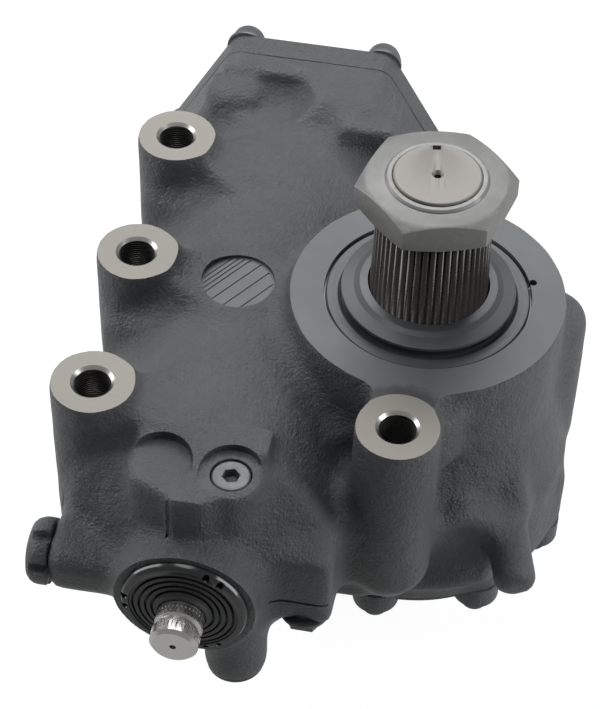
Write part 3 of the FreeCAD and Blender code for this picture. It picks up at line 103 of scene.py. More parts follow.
# What the cutters take off the mounting faces, and the depth and thread of the mounting holes.
FACE_CUT = 0.1
BOSS_DEPTHS = (30.0, 32.0, 34.0, 36.0)
THREAD_CORE = 9.25
THREAD_CREST = 10.0
THREAD_PITCH = 1.5
THREAD_MOUTH = 1.5
COVER_BOLT = 6.0
SIDE_BOLT = 5.0

# Stock left on a face that is milled, a cutter's reach past the work, and a place well outside the gear.
STOCK = 4.0
CLEAR = 14.0
FAR = 150.0

# Height and size of the waves that a sand mould leaves in the skin.
SKIN_WAVE = 0.3
WAVE_SIZE = 16.0

# Sides of a small, a middling and a large circle.
COARSE = 40
MIDDLE = 96
FINE = 144

# Forms of the casting that have no machined face: where they run, in millimetres.
SPOT = (-98.5, 0.0)
SPOT_RADIUS = 19.0
SPOT_LEVEL = -12.8
SPOT_LINES = math.radians(56.0)
SPOT_GROOVES = (-15.2, -12.6, -10.1, -7.4, -1.2, 6.0, 13.4)
GROOVE_HALF = 0.45
GROOVE_DEPTH = 0.5
PARTING_MARK = (-103.4, -147.0)
PLAIN_BOSS = (-111.5, -125.0)
DOME = (-131.5, 150.7)
DOME_PROFILE = ((0, -60), (18, -60), (17.2, -14), (14.5, -8.5), (9, -5.6), (0, -4.6))
VALLEY_PROFILE = ((0, -158), (26, -150), (26, -96), (0, -70))
VALLEY_AXIS = (0.0, 140.0, 10.5)
CORNER_BLOCKS = (((-65.6, 120.8, -44), (-35.6, 142, -3.2)), ((-65.6, 138, -30), (-51, 163, -3.2)))
BLOCK_SLOT = ((-35.3, 119, -24), (-31.5, 141, CLEAR))
LOWER_SLOT = ((-57, -142, -91), (-24, -137, -89.4))
DOWEL = (51.6, 17.9)
LEDGES = (
    (((-170, 76, -34), (-165.7, 68.8, -28), (-157, 64, -27.5), (-148.2, 62.5, -27), (-137.9, 64.4, -22),
      (-129, 69, -15)), (-148, 90.5), -74),
    (((-170, -14, -40), (-166.6, -22.9, -34), (-158, -28.1, -31), (-147.3, -30, -28), (-139.3, -28.6, -22),
      (-130, -24, -14)), (-148, -2), -74),
    (((-124, -94, -9.5), (-128.5, -106.8, -18.7), (-141.5, -118.2, -28.7), (-155.5, -119, -45.8),
      (-167, -112, -76)), (-150, -95), -104),
)
BOSS_RIBS = (
    ((-131, 96, -9), (-125.3, 100.7, -11.5), (-96, 119, -18)),
    ((-131, 78, -9), (-118.4, 72.9, -14.5), (-95, 61.8, -18)),
    ((-131, 10, -9), (-108.7, 24, -16)),
    ((-131, -12, -9), (-112, -16, -17)),
    ((-132, -80, -9), (-117.8, -70, -14.5), (-105, -62, -18)),
)
DRUM_RIDGES = (
    (((-19.6, -77.8, -137), (-7.8, -79.8, -114), (6.8, -79.9, -97), (19.2, -78, -86), (34, -72.6, -81),
      (44, -67, -91)), (5, 6.5, 7, 7, 7, 7.5)),
    (((-19.6, -77.8, -137), (-2, -80, -132), (13, -79, -134), (32, -74, -134), (46, -67, -132)),
     (5, 6, 6.5, 6.5, 7.5)),
    (((-16, -79, -86), (-19.2, -78, -99), (-19.4, -78, -118), (-19.6, -77.8, -137)), (5.5, 6.5, 6.5, 5)),
    (((57, -50, -99), (55, -46, -78)), (11.5, 8.5)),
)
BOSS_RIB_RADIUS = 4.5
SWELLING_RADIUS = 11.5
SWELLING_FACE = (56.5, -60.5, -104.6)
SWELLING_BACK = (46.0, -26.0, -97.0)
SWELLING_EYE = (59.7, -59.3, -103.0)
SWELLING_EYE_BACK = (56.85, -49.9, -100.9)
BOSS_FACET = ((5, -74, -2.4), (12, -66, -2), (33, -60, -8), (23, -76.5, -13), (15, -84, -14))
PORT_SECTION = ((-124, -69), (-134, -70), (-146, -73), (-150.3, -78), (-150.3, -92), (-145, -101),
                (-133, -105.5), (-122, -104), (-117, -96), (-117, -76))
PAD_WALL = ((-128, -96, -11), (-125, -116, -12), (-99, -128, -13.5), (-91, -128, -13.5), (-60, -114, -11),
            (-60, -96, -10.5))
BRIDGE_OUTLINE = ((-101.5, -112), (-101.8, -148.4), (-86, -147), (-80, -143), (-80, -112))
KIDNEY_OUTLINE = ((-103, -112), (-113, -109), (-122, -114), (-127, -123.5), (-122.6, -135.2),
                  (-112.5, -141.8), (-101.4, -145.6), (-101.4, -125))


# Caps: radius, height from the face that they close, and the depth of the flutes between the lobes.
PORT_CAP = ((0, 22, 0), (8.9, 22, 0), (8.9, -0.3, 0), (16.6, -0.3, 3.2), (17.4, -1.0, 4.4), (17.5, -5.0, 4.4),
            (17.2, -7.4, 2.6), (16.2, -9.4, 0.6), (14.2, -11.3, 0), (11.0, -12.2, 0), (0, -12.5, 0))
PORT_CAP_LOBES = 6
PORT_CAP_TURN = math.radians(43.4)
RELIEF_CAP = ((0, 28), (9.9, 28), (9.9, -0.3), (14.4, -0.3), (14.8, -0.8), (14.8, -3), (14, -3.9), (9, -4.1),
              (8.4, -3.3), (0, -3.3))

# The shaft's thread above its splines, and the centre hole in its end.
SHAFT_THREAD = (61.6, 80.6, 1.5)
CENTRE_HOLE = ((0, 74.5), (1.6, 76), (1.6, 79.2), (3.6, 81.5), (0, 81.5))

# Lamps: name, place and size in metres, and watts. They look at the middle of the gear.
LAMP_TARGET = (-0.05, 0.0, -0.08)
LAMPS = (
    ("back_softbox", (-0.15, 0.9, 1.05), 1.3, 0.7, 15),
    ("overhead_softbox", (-0.2, 0.1, 1.35), 0.7, 0.7, 5),
    ("left_softbox", (-1.2, 0.1, 0.35), 0.45, 1.1, 8),
    ("right_softbox", (1.15, -0.1, 0.3), 0.45, 1.1, 9),
)
FLOOR_REACH = 6.0
FLOOR_GAP = 0.0004

# What the photo's camera looks at, in millimetres.
CAMERA_TARGET = (-55.843, -55.507, 0.0)


def length_setting(name, description, default):
    """A setting in metres."""
    return bpy.props.FloatProperty(name=name, description=description, default=default, unit="LENGTH")


def angle_setting(name, description, degrees):
    """An angle whose default is given in degrees."""
    return bpy.props.FloatProperty(
        name=name, description=description, default=math.radians(degrees), subtype="ANGLE")


def colour_setting(name, description, default):
    """A colour of three channels."""
    return bpy.props.FloatVectorProperty(
        name=name, description=description, default=default, size=3, subtype="COLOR", min=0.0, max=1.0)


class CastingSettings(bpy.types.PropertyGroup):
    """Sizes of the cast surface, in metres."""

    root_fillet: length_setting("Root fillet", "Radius where cast walls meet", 0.006)
    edge_round: length_setting("Edge round", "Radius of outer cast edges", 0.003)
    voxel: length_setting("Mesh step", "Spacing of the cast surface's mesh", 0.00205)
    crisp_fillet: length_setting("Crisp fillet", "Radius where pads and ribs meet the casting", 0.0025)
    crisp_edge: length_setting("Crisp edge", "Radius of the pads' and ribs' edges", 0.0012)
    paint: colour_setting("Paint", "Colour of the painted casting", (0.080, 0.086, 0.091))


class MachinedSettings(bpy.types.PropertyGroup):
    """Colours of the machined and bought-in pieces."""

    bare: colour_setting("Bare face", "Colour of the machined mounting faces", (0.30, 0.285, 0.26))
    bright: colour_setting("Bright steel", "Colour of ground and serrated steel", (0.55, 0.54, 0.52))
    phosphate: colour_setting("Phosphate", "Colour of the shaft nut", (0.20, 0.20, 0.196))
    rubber: colour_setting("Rubber", "Colour of boots and seals", (0.022, 0.023, 0.025))


class StageSettings(bpy.types.PropertyGroup):
    """Camera, light and floor."""

    azimuth: angle_setting("Azimuth", "Camera angle about the upright axis", 9.556)
    elevation: angle_setting("Elevation", "Camera angle above the floor", 46.643)
    roll: angle_setting("Roll", "Camera roll", 1.414)
    distance: length_setting("Distance", "Camera distance", 1.096956)
    lens: bpy.props.FloatProperty(
        name="Lens", description="Focal length for a 36 mm sensor", default=112.66, unit="CAMERA")
    light: bpy.props.FloatProperty(
        name="Light", description="Strength of the lamps", default=1.0, min=0.0)


# Mesh tools.


def mesh_object(name, points, faces, scale=MM):
    """An object from points in millimetres and faces, with its normals outward."""
    mesh = bpy.data.meshes.new(name)
    mesh.from_pydata([tuple(scale * value for value in point) for point in points], [], faces)
    work = bmesh.new()
    work.from_mesh(mesh)
    bmesh.ops.recalc_face_normals(work, faces=work.faces)
    work.to_mesh(mesh)
    work.free()
    thing = bpy.data.objects.new(name, mesh)
    bpy.context.scene.collection.objects.link(thing)
    return thing


def up(base=(0, 0, 0)):
    """Places turned points about an upright axis through a base."""
    def put(across, side, along):
        return (base[0] + across, base[1] + side, base[2] + along)
    return put


def along_worm(across, side, along):
    """Places turned points about the worm's axis, with the profile's heights along Y."""
    return (WORM_X + across, along, WORM_Z + side)


def along_x(base):
    """Places turned points about an axis along X through a base."""
    def put(across, side, along):
        return (base[0] + along, base[1] + across, base[2] + side)
    return put


def lathe(profile, put, steps=96, lobes=0, first_flute=0.0):
    """Points and faces of a closed profile of (radius, height) spun about its axis.

    A third number in a profile is the depth of the flutes between its lobes.
    """
    points = []
    rings = []
    for radius, height, *flute in profile:
        start = len(points)
        if radius < ON_AXIS:
            points.append(put(0.0, 0.0, height))
            rings.append([start] * steps)
            continue
        for step in range(steps):
            turn = 2 * math.pi * step / steps
            reach = radius
            if flute:
                hollow = max(0.0, math.cos(lobes * (turn - first_flute)) - LOBE_WIDTH) / (1 - LOBE_WIDTH)
                reach -= flute[0] * hollow
            points.append(put(reach * math.cos(turn), reach * math.sin(turn), height))
        rings.append(list(range(start, start + steps)))
    faces = []
    for index, low in enumerate(rings):
        high = rings[(index + 1) % len(rings)]
        for step in range(steps):
            after = (step + 1) % steps
            face = []
            for corner in (low[step], low[after], high[after], high[step]):
                if corner not in face:
                    face.append(corner)
            if len(face) > 2:
                faces.append(face)
    return points, faces


def joined(shapes):
    """One list of points and faces from several."""
    points = []
    faces = []
    for more_points, more_faces in shapes:
        start = len(points)
        points += more_points
        faces += [[start + corner for corner in face] for face in more_faces]
    return points, faces


def rod(radius, low, high, put, steps=72):
    """Points and faces of a plain round rod."""
    return lathe([(0, low), (radius, low), (radius, high), (0, high)], put, steps)


def block(low, high):
    """Points and faces of a box between two corners."""
    points = [(x, y, z) for x in (low[0], high[0]) for y in (low[1], high[1]) for z in (low[2], high[2])]
    faces = [[0, 1, 3, 2], [4, 6, 7, 5], [0, 4, 5, 1], [2, 3, 7, 6], [0, 2, 6, 4], [1, 5, 7, 3]]
    return points, faces


def between(first, second):
    """Places turned points about the line from one point towards another."""
    along = (Vector(second) - Vector(first)).normalized()
    across = along.orthogonal().normalized()
    side = along.cross(across)

    def put(a, b, height):
        return tuple(Vector(first) + a * across + b * side + height * along)
    return put


def ridge(points, radii):
    """Round-ended bars along a line of points, tapering from one radius to the next."""
    shapes = []
    for index in range(len(points) - 1):
        first, second = points[index], points[index + 1]
        wide, narrow = radii[index], radii[index + 1]
        length = (Vector(second) - Vector(first)).length
        profile = [(0, -wide), (0.7 * wide, -0.7 * wide), (wide, 0), (narrow, length),
                   (0.7 * narrow, length + 0.7 * narrow), (0, length + narrow)]
        shapes.append(lathe(profile, between(first, second), 20))
    return shapes


def slab(outline, foot, top=None):
    """A block over an outline seen from above, whose corners may stand at their own heights."""
    count = len(outline)
    points = [(corner[0], corner[1], foot) for corner in outline]
    points += [(corner[0], corner[1], corner[2] if top is None else top) for corner in outline]
    return points, [list(range(count))[::-1], list(range(count, 2 * count))] + sides(count)


def sides(count):
    """The faces between two like outlines, the one's points after the other's."""
    faces = []
    for index in range(count):
        after = (index + 1) % count
        faces.append([index, after, count + after, count + index])
    return faces


def prism(outline, low, high, put):
    """A closed bar with one outline over its length."""
    count = len(outline)
    points = [put(a, b, height) for height in (low, high) for a, b in outline]
    return points, [list(range(count)), list(range(count, 2 * count))[::-1]] + sides(count)


def bar_along_x(section, left, right):
    """A bar along X with a section of (y, z) corners."""
    return prism(section, left, right, lambda y, z, x: (x, y, z))


def ledge(line, centre, foot, thick=14.0):
    """A shoulder whose outer edge follows a line of points about a column."""
    shapes = []
    for first, second in zip(line, line[1:]):
        corners = []
        for point in (first, second):
            reach = Vector((centre[0] - point[0], centre[1] - point[1])).normalized() * thick
            corners.append((point, (point[0] + reach.x, point[1] + reach.y, point[2])))
        (a, b), (c, d) = corners
        shapes.append(slab([a, c, d, b], foot))
    return shapes


def round_hexagon(radius, corner, steps=8):
    """Corners of a hexagon with rounded corners, its first corner on the X axis."""
    spots = []
    middle = radius - corner / math.cos(math.radians(30))
    for turn in range(0, 360, 60):
        for step in range(steps + 1):
            angle = math.radians(turn - 30 + 60 * step / steps)
            spots.append((middle * math.cos(math.radians(turn)) + corner * math.cos(angle),
                          middle * math.sin(math.radians(turn)) + corner * math.sin(angle)))
    return spots


def collar(inside, reach, low, high, put):
    """A closed ring between an outline and a circle that lies well outside it."""
    count = len(inside)
    points = []
    for height in (low, high):
        for a, b in inside:
            points.append(put(a, b, height))
        for a, b in inside:
            size = reach / math.hypot(a, b)
            points.append(put(a * size, b * size, height))
    faces = []
    for index in range(count):
        after = (index + 1) % count
        rings = [start + number for start in (0, count, 2 * count, 3 * count) for number in (index, after)]
        a, b, c, d, e, f, g, h = rings
        faces += [[a, b, d, c], [e, g, h, f], [a, e, f, b], [c, d, h, g]]
    return points, faces


def cut_away(thing, shapes):
    """Cuts closed shapes that don't touch each other out of an object."""
    tool = mesh_object("cutting_tool", *joined(shapes))
    change = thing.modifiers.new("cut", "BOOLEAN")
    change.operation = "DIFFERENCE"
    change.solver = "MANIFOLD"
    change.object = tool
    apply_changes(thing)
    bpy.data.objects.remove(tool)


def apply_changes(thing):
    """Makes an object's modifiers real."""
    graph = bpy.context.evaluated_depsgraph_get()
    mesh = bpy.data.meshes.new_from_object(thing.evaluated_get(graph))
    old = thing.data
    thing.modifiers.clear()
    thing.data = mesh
    mesh.materials.clear()
    bpy.data.meshes.remove(old)


def copied_node(node, name):
    """A closed copy of a node's mesh, for a piece that refines it."""
    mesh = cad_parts[node].data.copy()
    mesh.materials.clear()
    thing = bpy.data.objects.new(name, mesh)
    bpy.context.scene.collection.objects.link(thing)
    work = bmesh.new()
    work.from_mesh(mesh)
    bmesh.ops.remove_doubles(work, verts=work.verts, dist=WELD * MM)
    work.to_mesh(mesh)
    work.free()
    return thing


def smooth(thing, angle=30.0):
    """Smooth shading with sharp edges where faces meet at more than an angle."""
    thing.data.polygons.foreach_set("use_smooth", [True] * len(thing.data.polygons))
    thing.data.set_sharp_from_angle(angle=math.radians(angle))


def bevelled(thing, width, segments, angle):
    """Rounds an object's sharp edges a little."""
    change = thing.modifiers.new("edge_break", "BEVEL")
    change.width = width * MM
    change.segments = segments
    change.limit_method = "ANGLE"
    change.angle_limit = math.radians(angle)
    change.use_clamp_overlap = True
    change.harden_normals = False
    apply_changes(thing)


def read_rows(items, key, kind=np.float32):
    """One array of the three numbers that each item of a mesh has under a key."""
    values = np.empty(len(items) * 3, kind)
    items.foreach_get(key, values)
    return values.reshape(-1, 3)


def triangles_of(thing):
    """An object's points in millimetres and its triangles, as arrays."""
    mesh = thing.data
    mesh.calc_loop_triangles()
    return read_rows(mesh.vertices, "co") / MM, read_rows(mesh.loop_triangles, "vertices", np.int32)


def soup(shapes):
    """One array of points and triangles from several meshes of points and faces."""
    points = []
    corners = []
    start = 0
    for more_points, more_faces in shapes:
        points.append(np.asarray(more_points, np.float32))
        for face in more_faces:
            for index in range(1, len(face) - 1):
                corners.append((start + face[0], start + face[index], start + face[index + 1]))
        start += len(more_points)
    return np.concatenate(points), np.asarray(corners, np.int32)


def with_shapes(surface, shapes):
    """A surface of points and triangles with more closed shapes added to it."""
    points, corners = surface
    more_points, more_corners = soup(shapes)
    return np.concatenate([points, more_points]), np.concatenate([corners, more_corners + len(points)])


def cast_surface(name, points, corners, fillet, edge, step):
    """The skin of a casting: hollow corners filled to one radius, outer edges rounded to another."""
    places = openvdb.createLinearTransform(voxelSize=step)
    quads = None
    for reach, level in ((fillet, fillet), (fillet + edge, -fillet - edge), (edge, edge)):
        skin = openvdb.FloatGrid.createLevelSetFromPolygons(
            points, triangles=corners, quads=quads, transform=places, halfWidth=reach / step + 2)
        points, corners, quads = skin.convertToPolygons(isovalue=level)
    faces = [list(map(int, face[::-1])) for face in (*quads, *corners)]
    return mesh_object(name, points.tolist(), faces)


def uneven(thing, amount, size):
    """Moves a cast skin's points a little, as a sand mould leaves them."""
    mesh = thing.data
    points = read_rows(mesh.vertices, "co")
    lift = np.array([noise.noise(Vector(point) / (size * MM)) for point in points.tolist()], np.float32)
    points += read_rows(mesh.vertices, "normal") * (lift * amount * MM - amount * 0.5 * MM)[:, None]
    mesh.vertices.foreach_set("co", points.ravel())
    mesh.update()


def ring_spots(count, radius, start=0.0):
    """Points of a bolt circle."""
    turns = [math.radians(start + 360.0 * index / count) for index in range(count)]
    return [(radius * math.cos(turn), radius * math.sin(turn)) for turn in turns]


# Shader groups.


def new_group(name, inputs, outputs):
    """An empty shader group: its inputs are numbers or vectors, as their values are, its outputs numbers."""
    group = bpy.data.node_groups.new(name, "ShaderNodeTree")
    for label, value in inputs.items():
        kind = "NodeSocketVector" if isinstance(value, tuple) else "NodeSocketFloat"
        group.interface.new_socket(label, in_out="INPUT", socket_type=kind).default_value = value
    for label in outputs:
        group.interface.new_socket(label, in_out="OUTPUT", socket_type="NodeSocketFloat")
    return group, group.nodes.new("NodeGroupInput"), group.nodes.new("NodeGroupOutput")


def node(tree, kind, links=(), **settings):
    """A node with its settings, and its input sockets linked or set."""
    made = tree.nodes.new(kind)
    for key, value in settings.items():
        setattr(made, key, value)
    for socket, value in dict(links).items():
        if isinstance(value, bpy.types.NodeSocket):
            tree.links.new(value, made.inputs[socket])
        else:
            made.inputs[socket].default_value = value
    return made


def math_node(tree, operation, first, second=0.0, third=0.0):
    """The output of a math node."""
    return node(tree, "ShaderNodeMath", {0: first, 1: second, 2: third}, operation=operation).outputs[0]


def noise_of(tree, where, size, detail=2.0, rough=0.5):
    """Noise whose features are about a size in millimetres."""
    return node(tree, "ShaderNodeTexNoise", {"Vector": where, "Scale": 1 / (size * MM), "Detail": detail,
                                             "Roughness": rough}).outputs["Fac"]


def mapped(tree, value, low, high, new_low=0.0, new_high=1.0):
    """A value taken from one range to another."""
    return node(tree, "ShaderNodeMapRange", {0: value, 1: low, 2: high, 3: new_low, 4: new_high}).outputs[0]


def grain_group():
    """Sand-cast grain: fine sand, coarse ripples and a few pits."""
    group, source, sink = new_group(
        "sand_grain", {"Vector": (0, 0, 0), "Fine": 1.0, "Coarse": 1.0}, ("Height", "Mask"))
    where = source.outputs["Vector"]
    fine = noise_of(group, where, 1.5, 3.0, 0.68)
    coarse = noise_of(group, where, 5.0, 2.0, 0.5)
    ripple = noise_of(group, where, 18.0, 1.0, 0.4)
    pits = node(group, "ShaderNodeTexVoronoi", {"Vector": where, "Scale": 1 / (7.0 * MM)}).outputs["Distance"]
    pit = mapped(group, pits, 0.04, 0.14)
    height = math_node(group, "MULTIPLY", fine, source.outputs["Fine"])
    for relief, share in ((coarse, source.outputs["Coarse"]), (ripple, 1.6), (pit, 0.35)):
        height = math_node(group, "ADD", height, math_node(group, "MULTIPLY", relief, share))
    group.links.new(height, sink.inputs["Height"])
    group.links.new(math_node(group, "MULTIPLY", fine, coarse), sink.inputs["Mask"])
    return group


def edge_highlight_and_cloud_group():
    """Edge and cloud masks: a painted highlight along the edges of a piece, and slow changes of tone over it.
    """
    group, source, sink = new_group(
        "edge_and_cloud", {"Vector": (0, 0, 0), "Edge": 0.5, "Cloud size": 30.0}, ("Edge", "Cloud"))
    where = source.outputs["Vector"]
    point = node(group, "ShaderNodeNewGeometry").outputs["Pointiness"]
    # The edges that pointiness finds carry a painted highlight.
    edge = mapped(group, point, 0.51, 0.58)
    patchy_edge_highlight = math_node(group, "MULTIPLY", edge, noise_of(group, where, 2.5, 3.0, 0.6))
    group.links.new(math_node(group, "MULTIPLY", patchy_edge_highlight, source.outputs["Edge"]), sink.inputs["Edge"])
    scale = math_node(group, "DIVIDE", 1000.0, source.outputs["Cloud size"])
    cloud = node(group, "ShaderNodeTexNoise", {"Vector": where, "Scale": scale, "Detail": 3.0})
    group.links.new(cloud.outputs["Fac"], sink.inputs["Cloud"])
    return group


def turning_group():
    """Fine rings about an upright or level axis, as a lathe tool leaves them."""
    group, source, sink = new_group(
        "turning_marks", {"Vector": (0, 0, 0), "Centre": (0, 0, 0), "Along": (1, 1, 0), "Pitch": 0.4},
        ("Height",))
    shifted = node(group, "ShaderNodeVectorMath", {0: source.outputs["Vector"], 1: source.outputs["Centre"]},
                   operation="SUBTRACT").outputs[0]
    flat = node(group, "ShaderNodeVectorMath", {0: shifted, 1: source.outputs["Along"]},
                operation="MULTIPLY").outputs[0]
    reach = node(group, "ShaderNodeVectorMath", {0: flat}, operation="LENGTH").outputs["Value"]
    wander = noise_of(group, shifted, 30.0, 2.0, 0.5)
    turns = math_node(group, "DIVIDE", math_node(group, "MULTIPLY", reach, 1000.0), source.outputs["Pitch"])
    turns = math_node(group, "ADD", turns, math_node(group, "MULTIPLY", wander, 0.6))
    streak = node(group, "ShaderNodeTexNoise", {"W": turns, "Scale": 1.0, "Detail": 2.0},
                  noise_dimensions="1D").outputs["Fac"]
    group.links.new(streak, sink.inputs["Height"])
    return group


GROUPS = {}


def build_groups():
    """Makes each shader group once."""
    GROUPS["grain"] = grain_group()
    GROUPS["wear"] = edge_highlight_and_cloud_group()
    GROUPS["turning"] = turning_group()


def group_node(tree, key, **values):
    """A shader group in a material, with its own values."""
    links = {label.replace("_", " "): value for label, value in values.items()}
    return node(tree, "ShaderNodeGroup", links, node_tree=GROUPS[key])


def blended(tree, factor, first, second):
    """A colour between two, by a mask."""
    ends = [value if isinstance(value, bpy.types.NodeSocket) else (*value, 1.0) for value in (first, second)]
    return node(tree, "ShaderNodeMix", {0: factor, 6: ends[0], 7: ends[1]}, data_type="RGBA").outputs[2]


def shade(colour, factor):
    """A colour made darker or lighter."""
    return tuple(min(channel * factor, 1.0) for channel in colour)


def start_material(name, metallic, specular=0.5):
    """A material with its tree, shader and object coordinates."""
    material = bpy.data.materials.new(name)
    material.use_nodes = True
    tree = material.node_tree
    shader = tree.nodes["Principled BSDF"]
    shader.inputs["Metallic"].default_value = metallic
    shader.inputs["Specular IOR Level"].default_value = specular
    where = tree.nodes.new("ShaderNodeTexCoord").outputs["Object"]
    return material, tree, shader, where


def bump(tree, shader, height, depth, strength=1.0):
    """Relief of a depth in millimetres."""
    relief = node(tree, "ShaderNodeBump", {"Height": height, "Distance": depth * MM, "Strength": strength})
    tree.links.new(relief.outputs["Normal"], shader.inputs["Normal"])


# Which way the tool ran: rings on a level face, bands up a shaft or bore, and the same about the worm.
FLAT_RINGS = (1, 1, 0)
UPRIGHT_BANDS = (0, 0, 1)
WORM_RINGS = (1, 0, 1)
WORM_BANDS = (0, 1, 0)
WORM_AXIS = (WORM_X, 0, WORM_Z)
FLY_CUT = (300, 240, 0)
PAINT_PATCH = ((-1.0, -93.3, 0.0), 27.0)


def grainy(name, colour, rough=0.45, metallic=0.0, fine=1.0, coarse=1.0, depth=0.22, edge=0.6, cloud=45.0,
           specular=0.5, variety=0.16):
    """A painted, cast or moulded finish with grain, tone changes and edges painted lighter as a painted
    highlight, as strong as edge says.
    """
    material, tree, shader, where = start_material(name, metallic, specular)
    grain = group_node(tree, "grain", Vector=where, Fine=fine, Coarse=coarse)
    wear = group_node(tree, "wear", Vector=where, Edge=edge, Cloud_size=cloud)
    tone = blended(tree, wear.outputs["Cloud"], shade(colour, 1 - variety), shade(colour, 1 + variety))
    # Edges take a brighter copy of the colour: a painted highlight.
    tone = blended(tree, wear.outputs["Edge"], tone, shade(colour, 1.9))
    tree.links.new(tone, shader.inputs["Base Color"])
    roughness = mapped(tree, grain.outputs["Mask"], 0.1, 0.5, rough - 0.07, rough + 0.09)
    tree.links.new(roughness, shader.inputs["Roughness"])
    bump(tree, shader, grain.outputs["Height"], depth)
    return material


def turned(name, colour, rough=0.3, metallic=1.0, centre=(0, 0, 0), along=FLAT_RINGS, pitch=0.4, depth=0.02,
           variety=0.18, specular=0.5, patch=None):
    """A machined finish with tool rings about a centre, darker in a patch if one is given."""
    material, tree, shader, where = start_material(name, metallic, specular)
    middle = tuple(value * MM for value in centre)
    rings = group_node(tree, "turning", Vector=where, Centre=middle, Along=along, Pitch=pitch)
    wear = group_node(tree, "wear", Vector=where, Edge=0.5, Cloud_size=12.0)
    mask = math_node(tree, "MULTIPLY_ADD", rings.outputs["Height"], 0.6, 0.0)
    mask = math_node(tree, "MULTIPLY_ADD", wear.outputs["Cloud"], 0.4, mask)
    tone = blended(tree, mask, shade(colour, 1 - variety), shade(colour, 1 + variety))
    if patch:
        spot, reach = patch
        away = node(tree, "ShaderNodeVectorMath", {0: where, 1: tuple(value * MM for value in spot)},
                    operation="DISTANCE").outputs["Value"]
        away = math_node(tree, "MULTIPLY_ADD", noise_of(tree, where, 4.0, 3.0, 0.6), 0.007, away)
        tone = blended(tree, mapped(tree, away, (reach + 1) * MM, (reach + 6) * MM, 1.0, 0.0), tone,
                       shade(colour, 0.5))
    tree.links.new(tone, shader.inputs["Base Color"])
    tree.links.new(mapped(tree, mask, 0.25, 0.75, rough - 0.08, rough + 0.1), shader.inputs["Roughness"])
    bump(tree, shader, rings.outputs["Height"], depth)
    return material


# Each finish: how it is made, its colour or the setting that holds it, its shade, and what differs.
FINISHES = {
    # Dark satin paint over sand-cast iron, over a milled face and over rolled steel; on the milled face it is
    # made lighter as a painted sheen.
    "cast_paint": (grainy, "paint", 1.0, dict(
        rough=0.4, depth=0.95, fine=1.3, coarse=1.2, variety=0.18)),
    # The paint made lighter by half again: a painted sheen of the milled faces.
    "flange_paint": (turned, "paint", 1.5, dict(
        rough=0.45, metallic=0.0, pitch=0.7, depth=0.012, variety=0.06, specular=0.35, patch=PAINT_PATCH)),
    "bolt_paint": (grainy, "paint", 1.1, dict(
        rough=0.4, fine=0.5, coarse=0.3, depth=0.07, edge=1.0, cloud=9.0)),
    # Bare iron of the fly-cut mounting faces and their threads, and the threads' roots painted dark as
    # painted shade.
    "bare_face": (turned, "bare", 1.0, dict(
        rough=0.6, metallic=0.3, centre=FLY_CUT, pitch=0.5, variety=0.14, specular=0.3)),
    "thread_steel": (turned, "bright", 0.8, dict(
        along=UPRIGHT_BANDS, pitch=0.5, depth=0.01, variety=0.2)),
    # Near-black roots: painted shade in the thread's grooves.
    "thread_root": (turned, (0.03, 0.029, 0.028), 1.0, dict(
        rough=0.5, metallic=0.6, along=UPRIGHT_BANDS, pitch=0.5, depth=0.01, variety=0.3)),
    # The output shaft's oiled splines and its bare end, and the nut on it.
    "spline_steel": (turned, (0.06, 0.058, 0.055), 1.0, dict(
        rough=0.26, along=UPRIGHT_BANDS, pitch=0.5, depth=0.012, variety=0.3)),
    "shaft_end_steel": (turned, (0.27, 0.258, 0.24), 1.0, dict(
        rough=0.55, metallic=0.25, pitch=0.45, variety=0.25)),
    "nut_phosphate": (grainy, "phosphate", 1.0, dict(
        rough=0.5, metallic=0.35, fine=0.5, coarse=0.25, depth=0.05, edge=1.4, cloud=14.0, variety=0.22)),
    # Rings round the shafts.
    "dust_ring_satin": (turned, (0.075, 0.078, 0.082), 1.0, dict(
        rough=0.36, metallic=0.25, pitch=0.6, depth=0.012, variety=0.15)),
    "seal_carrier_satin": (turned, (0.07, 0.073, 0.077), 1.0, dict(
        rough=0.45, metallic=0.0, pitch=0.9, variety=0.15)),
    "ring_nut_black": (turned, (0.018, 0.019, 0.02), 1.0, dict(
        rough=0.16, metallic=0.2, centre=WORM_AXIS, along=WORM_RINGS, pitch=0.8, depth=0.006,
        variety=0.3, specular=0.7)),
    # Rubber of the boot and of the seals.
    "boot_rubber": (grainy, "rubber", 1.0, dict(
        rough=0.5, fine=0.4, coarse=0.2, depth=0.03, edge=0.8, cloud=8.0)),
    "seal_rubber": (grainy, "rubber", 0.9, dict(
        rough=0.55, fine=0.4, coarse=0.3, depth=0.04, cloud=10.0)),
    # Ground steel of the input shaft and of the pieces inside.
    "input_steel": (turned, "bright", 1.0, dict(
        rough=0.24, centre=WORM_AXIS, along=WORM_RINGS, pitch=0.35, depth=0.012, variety=0.15)),
    "inner_steel": (turned, (0.45, 0.45, 0.445), 1.0, dict(
        centre=WORM_AXIS, along=WORM_BANDS, pitch=0.5, depth=0.01)),
    "ball_steel": (grainy, "bright", 1.0, dict(
        rough=0.14, metallic=1.0, fine=0.2, coarse=0.1, depth=0.004, edge=0.0, cloud=3.0, variety=0.08)),
}
GROUND_NODES = (
    "adjuster_retainer", "rack_piston", "ball_return_tube", "return_tube_clamp", "return_tube_screws", "worm",
    "valve_sleeve", "torsion_bar", "torsion_pin_front", "torsion_pin_back", "worm_bearing_inner",
    "worm_bearing_outer", "sector_bearing_upper", "sector_bearing_lower")
CASTING_FINISHES = ("cast_paint", "thread_steel", "bare_face", "flange_paint", "thread_root")
SHAFT_FINISHES = ("spline_steel", "shaft_end_steel")
MATERIALS = {}


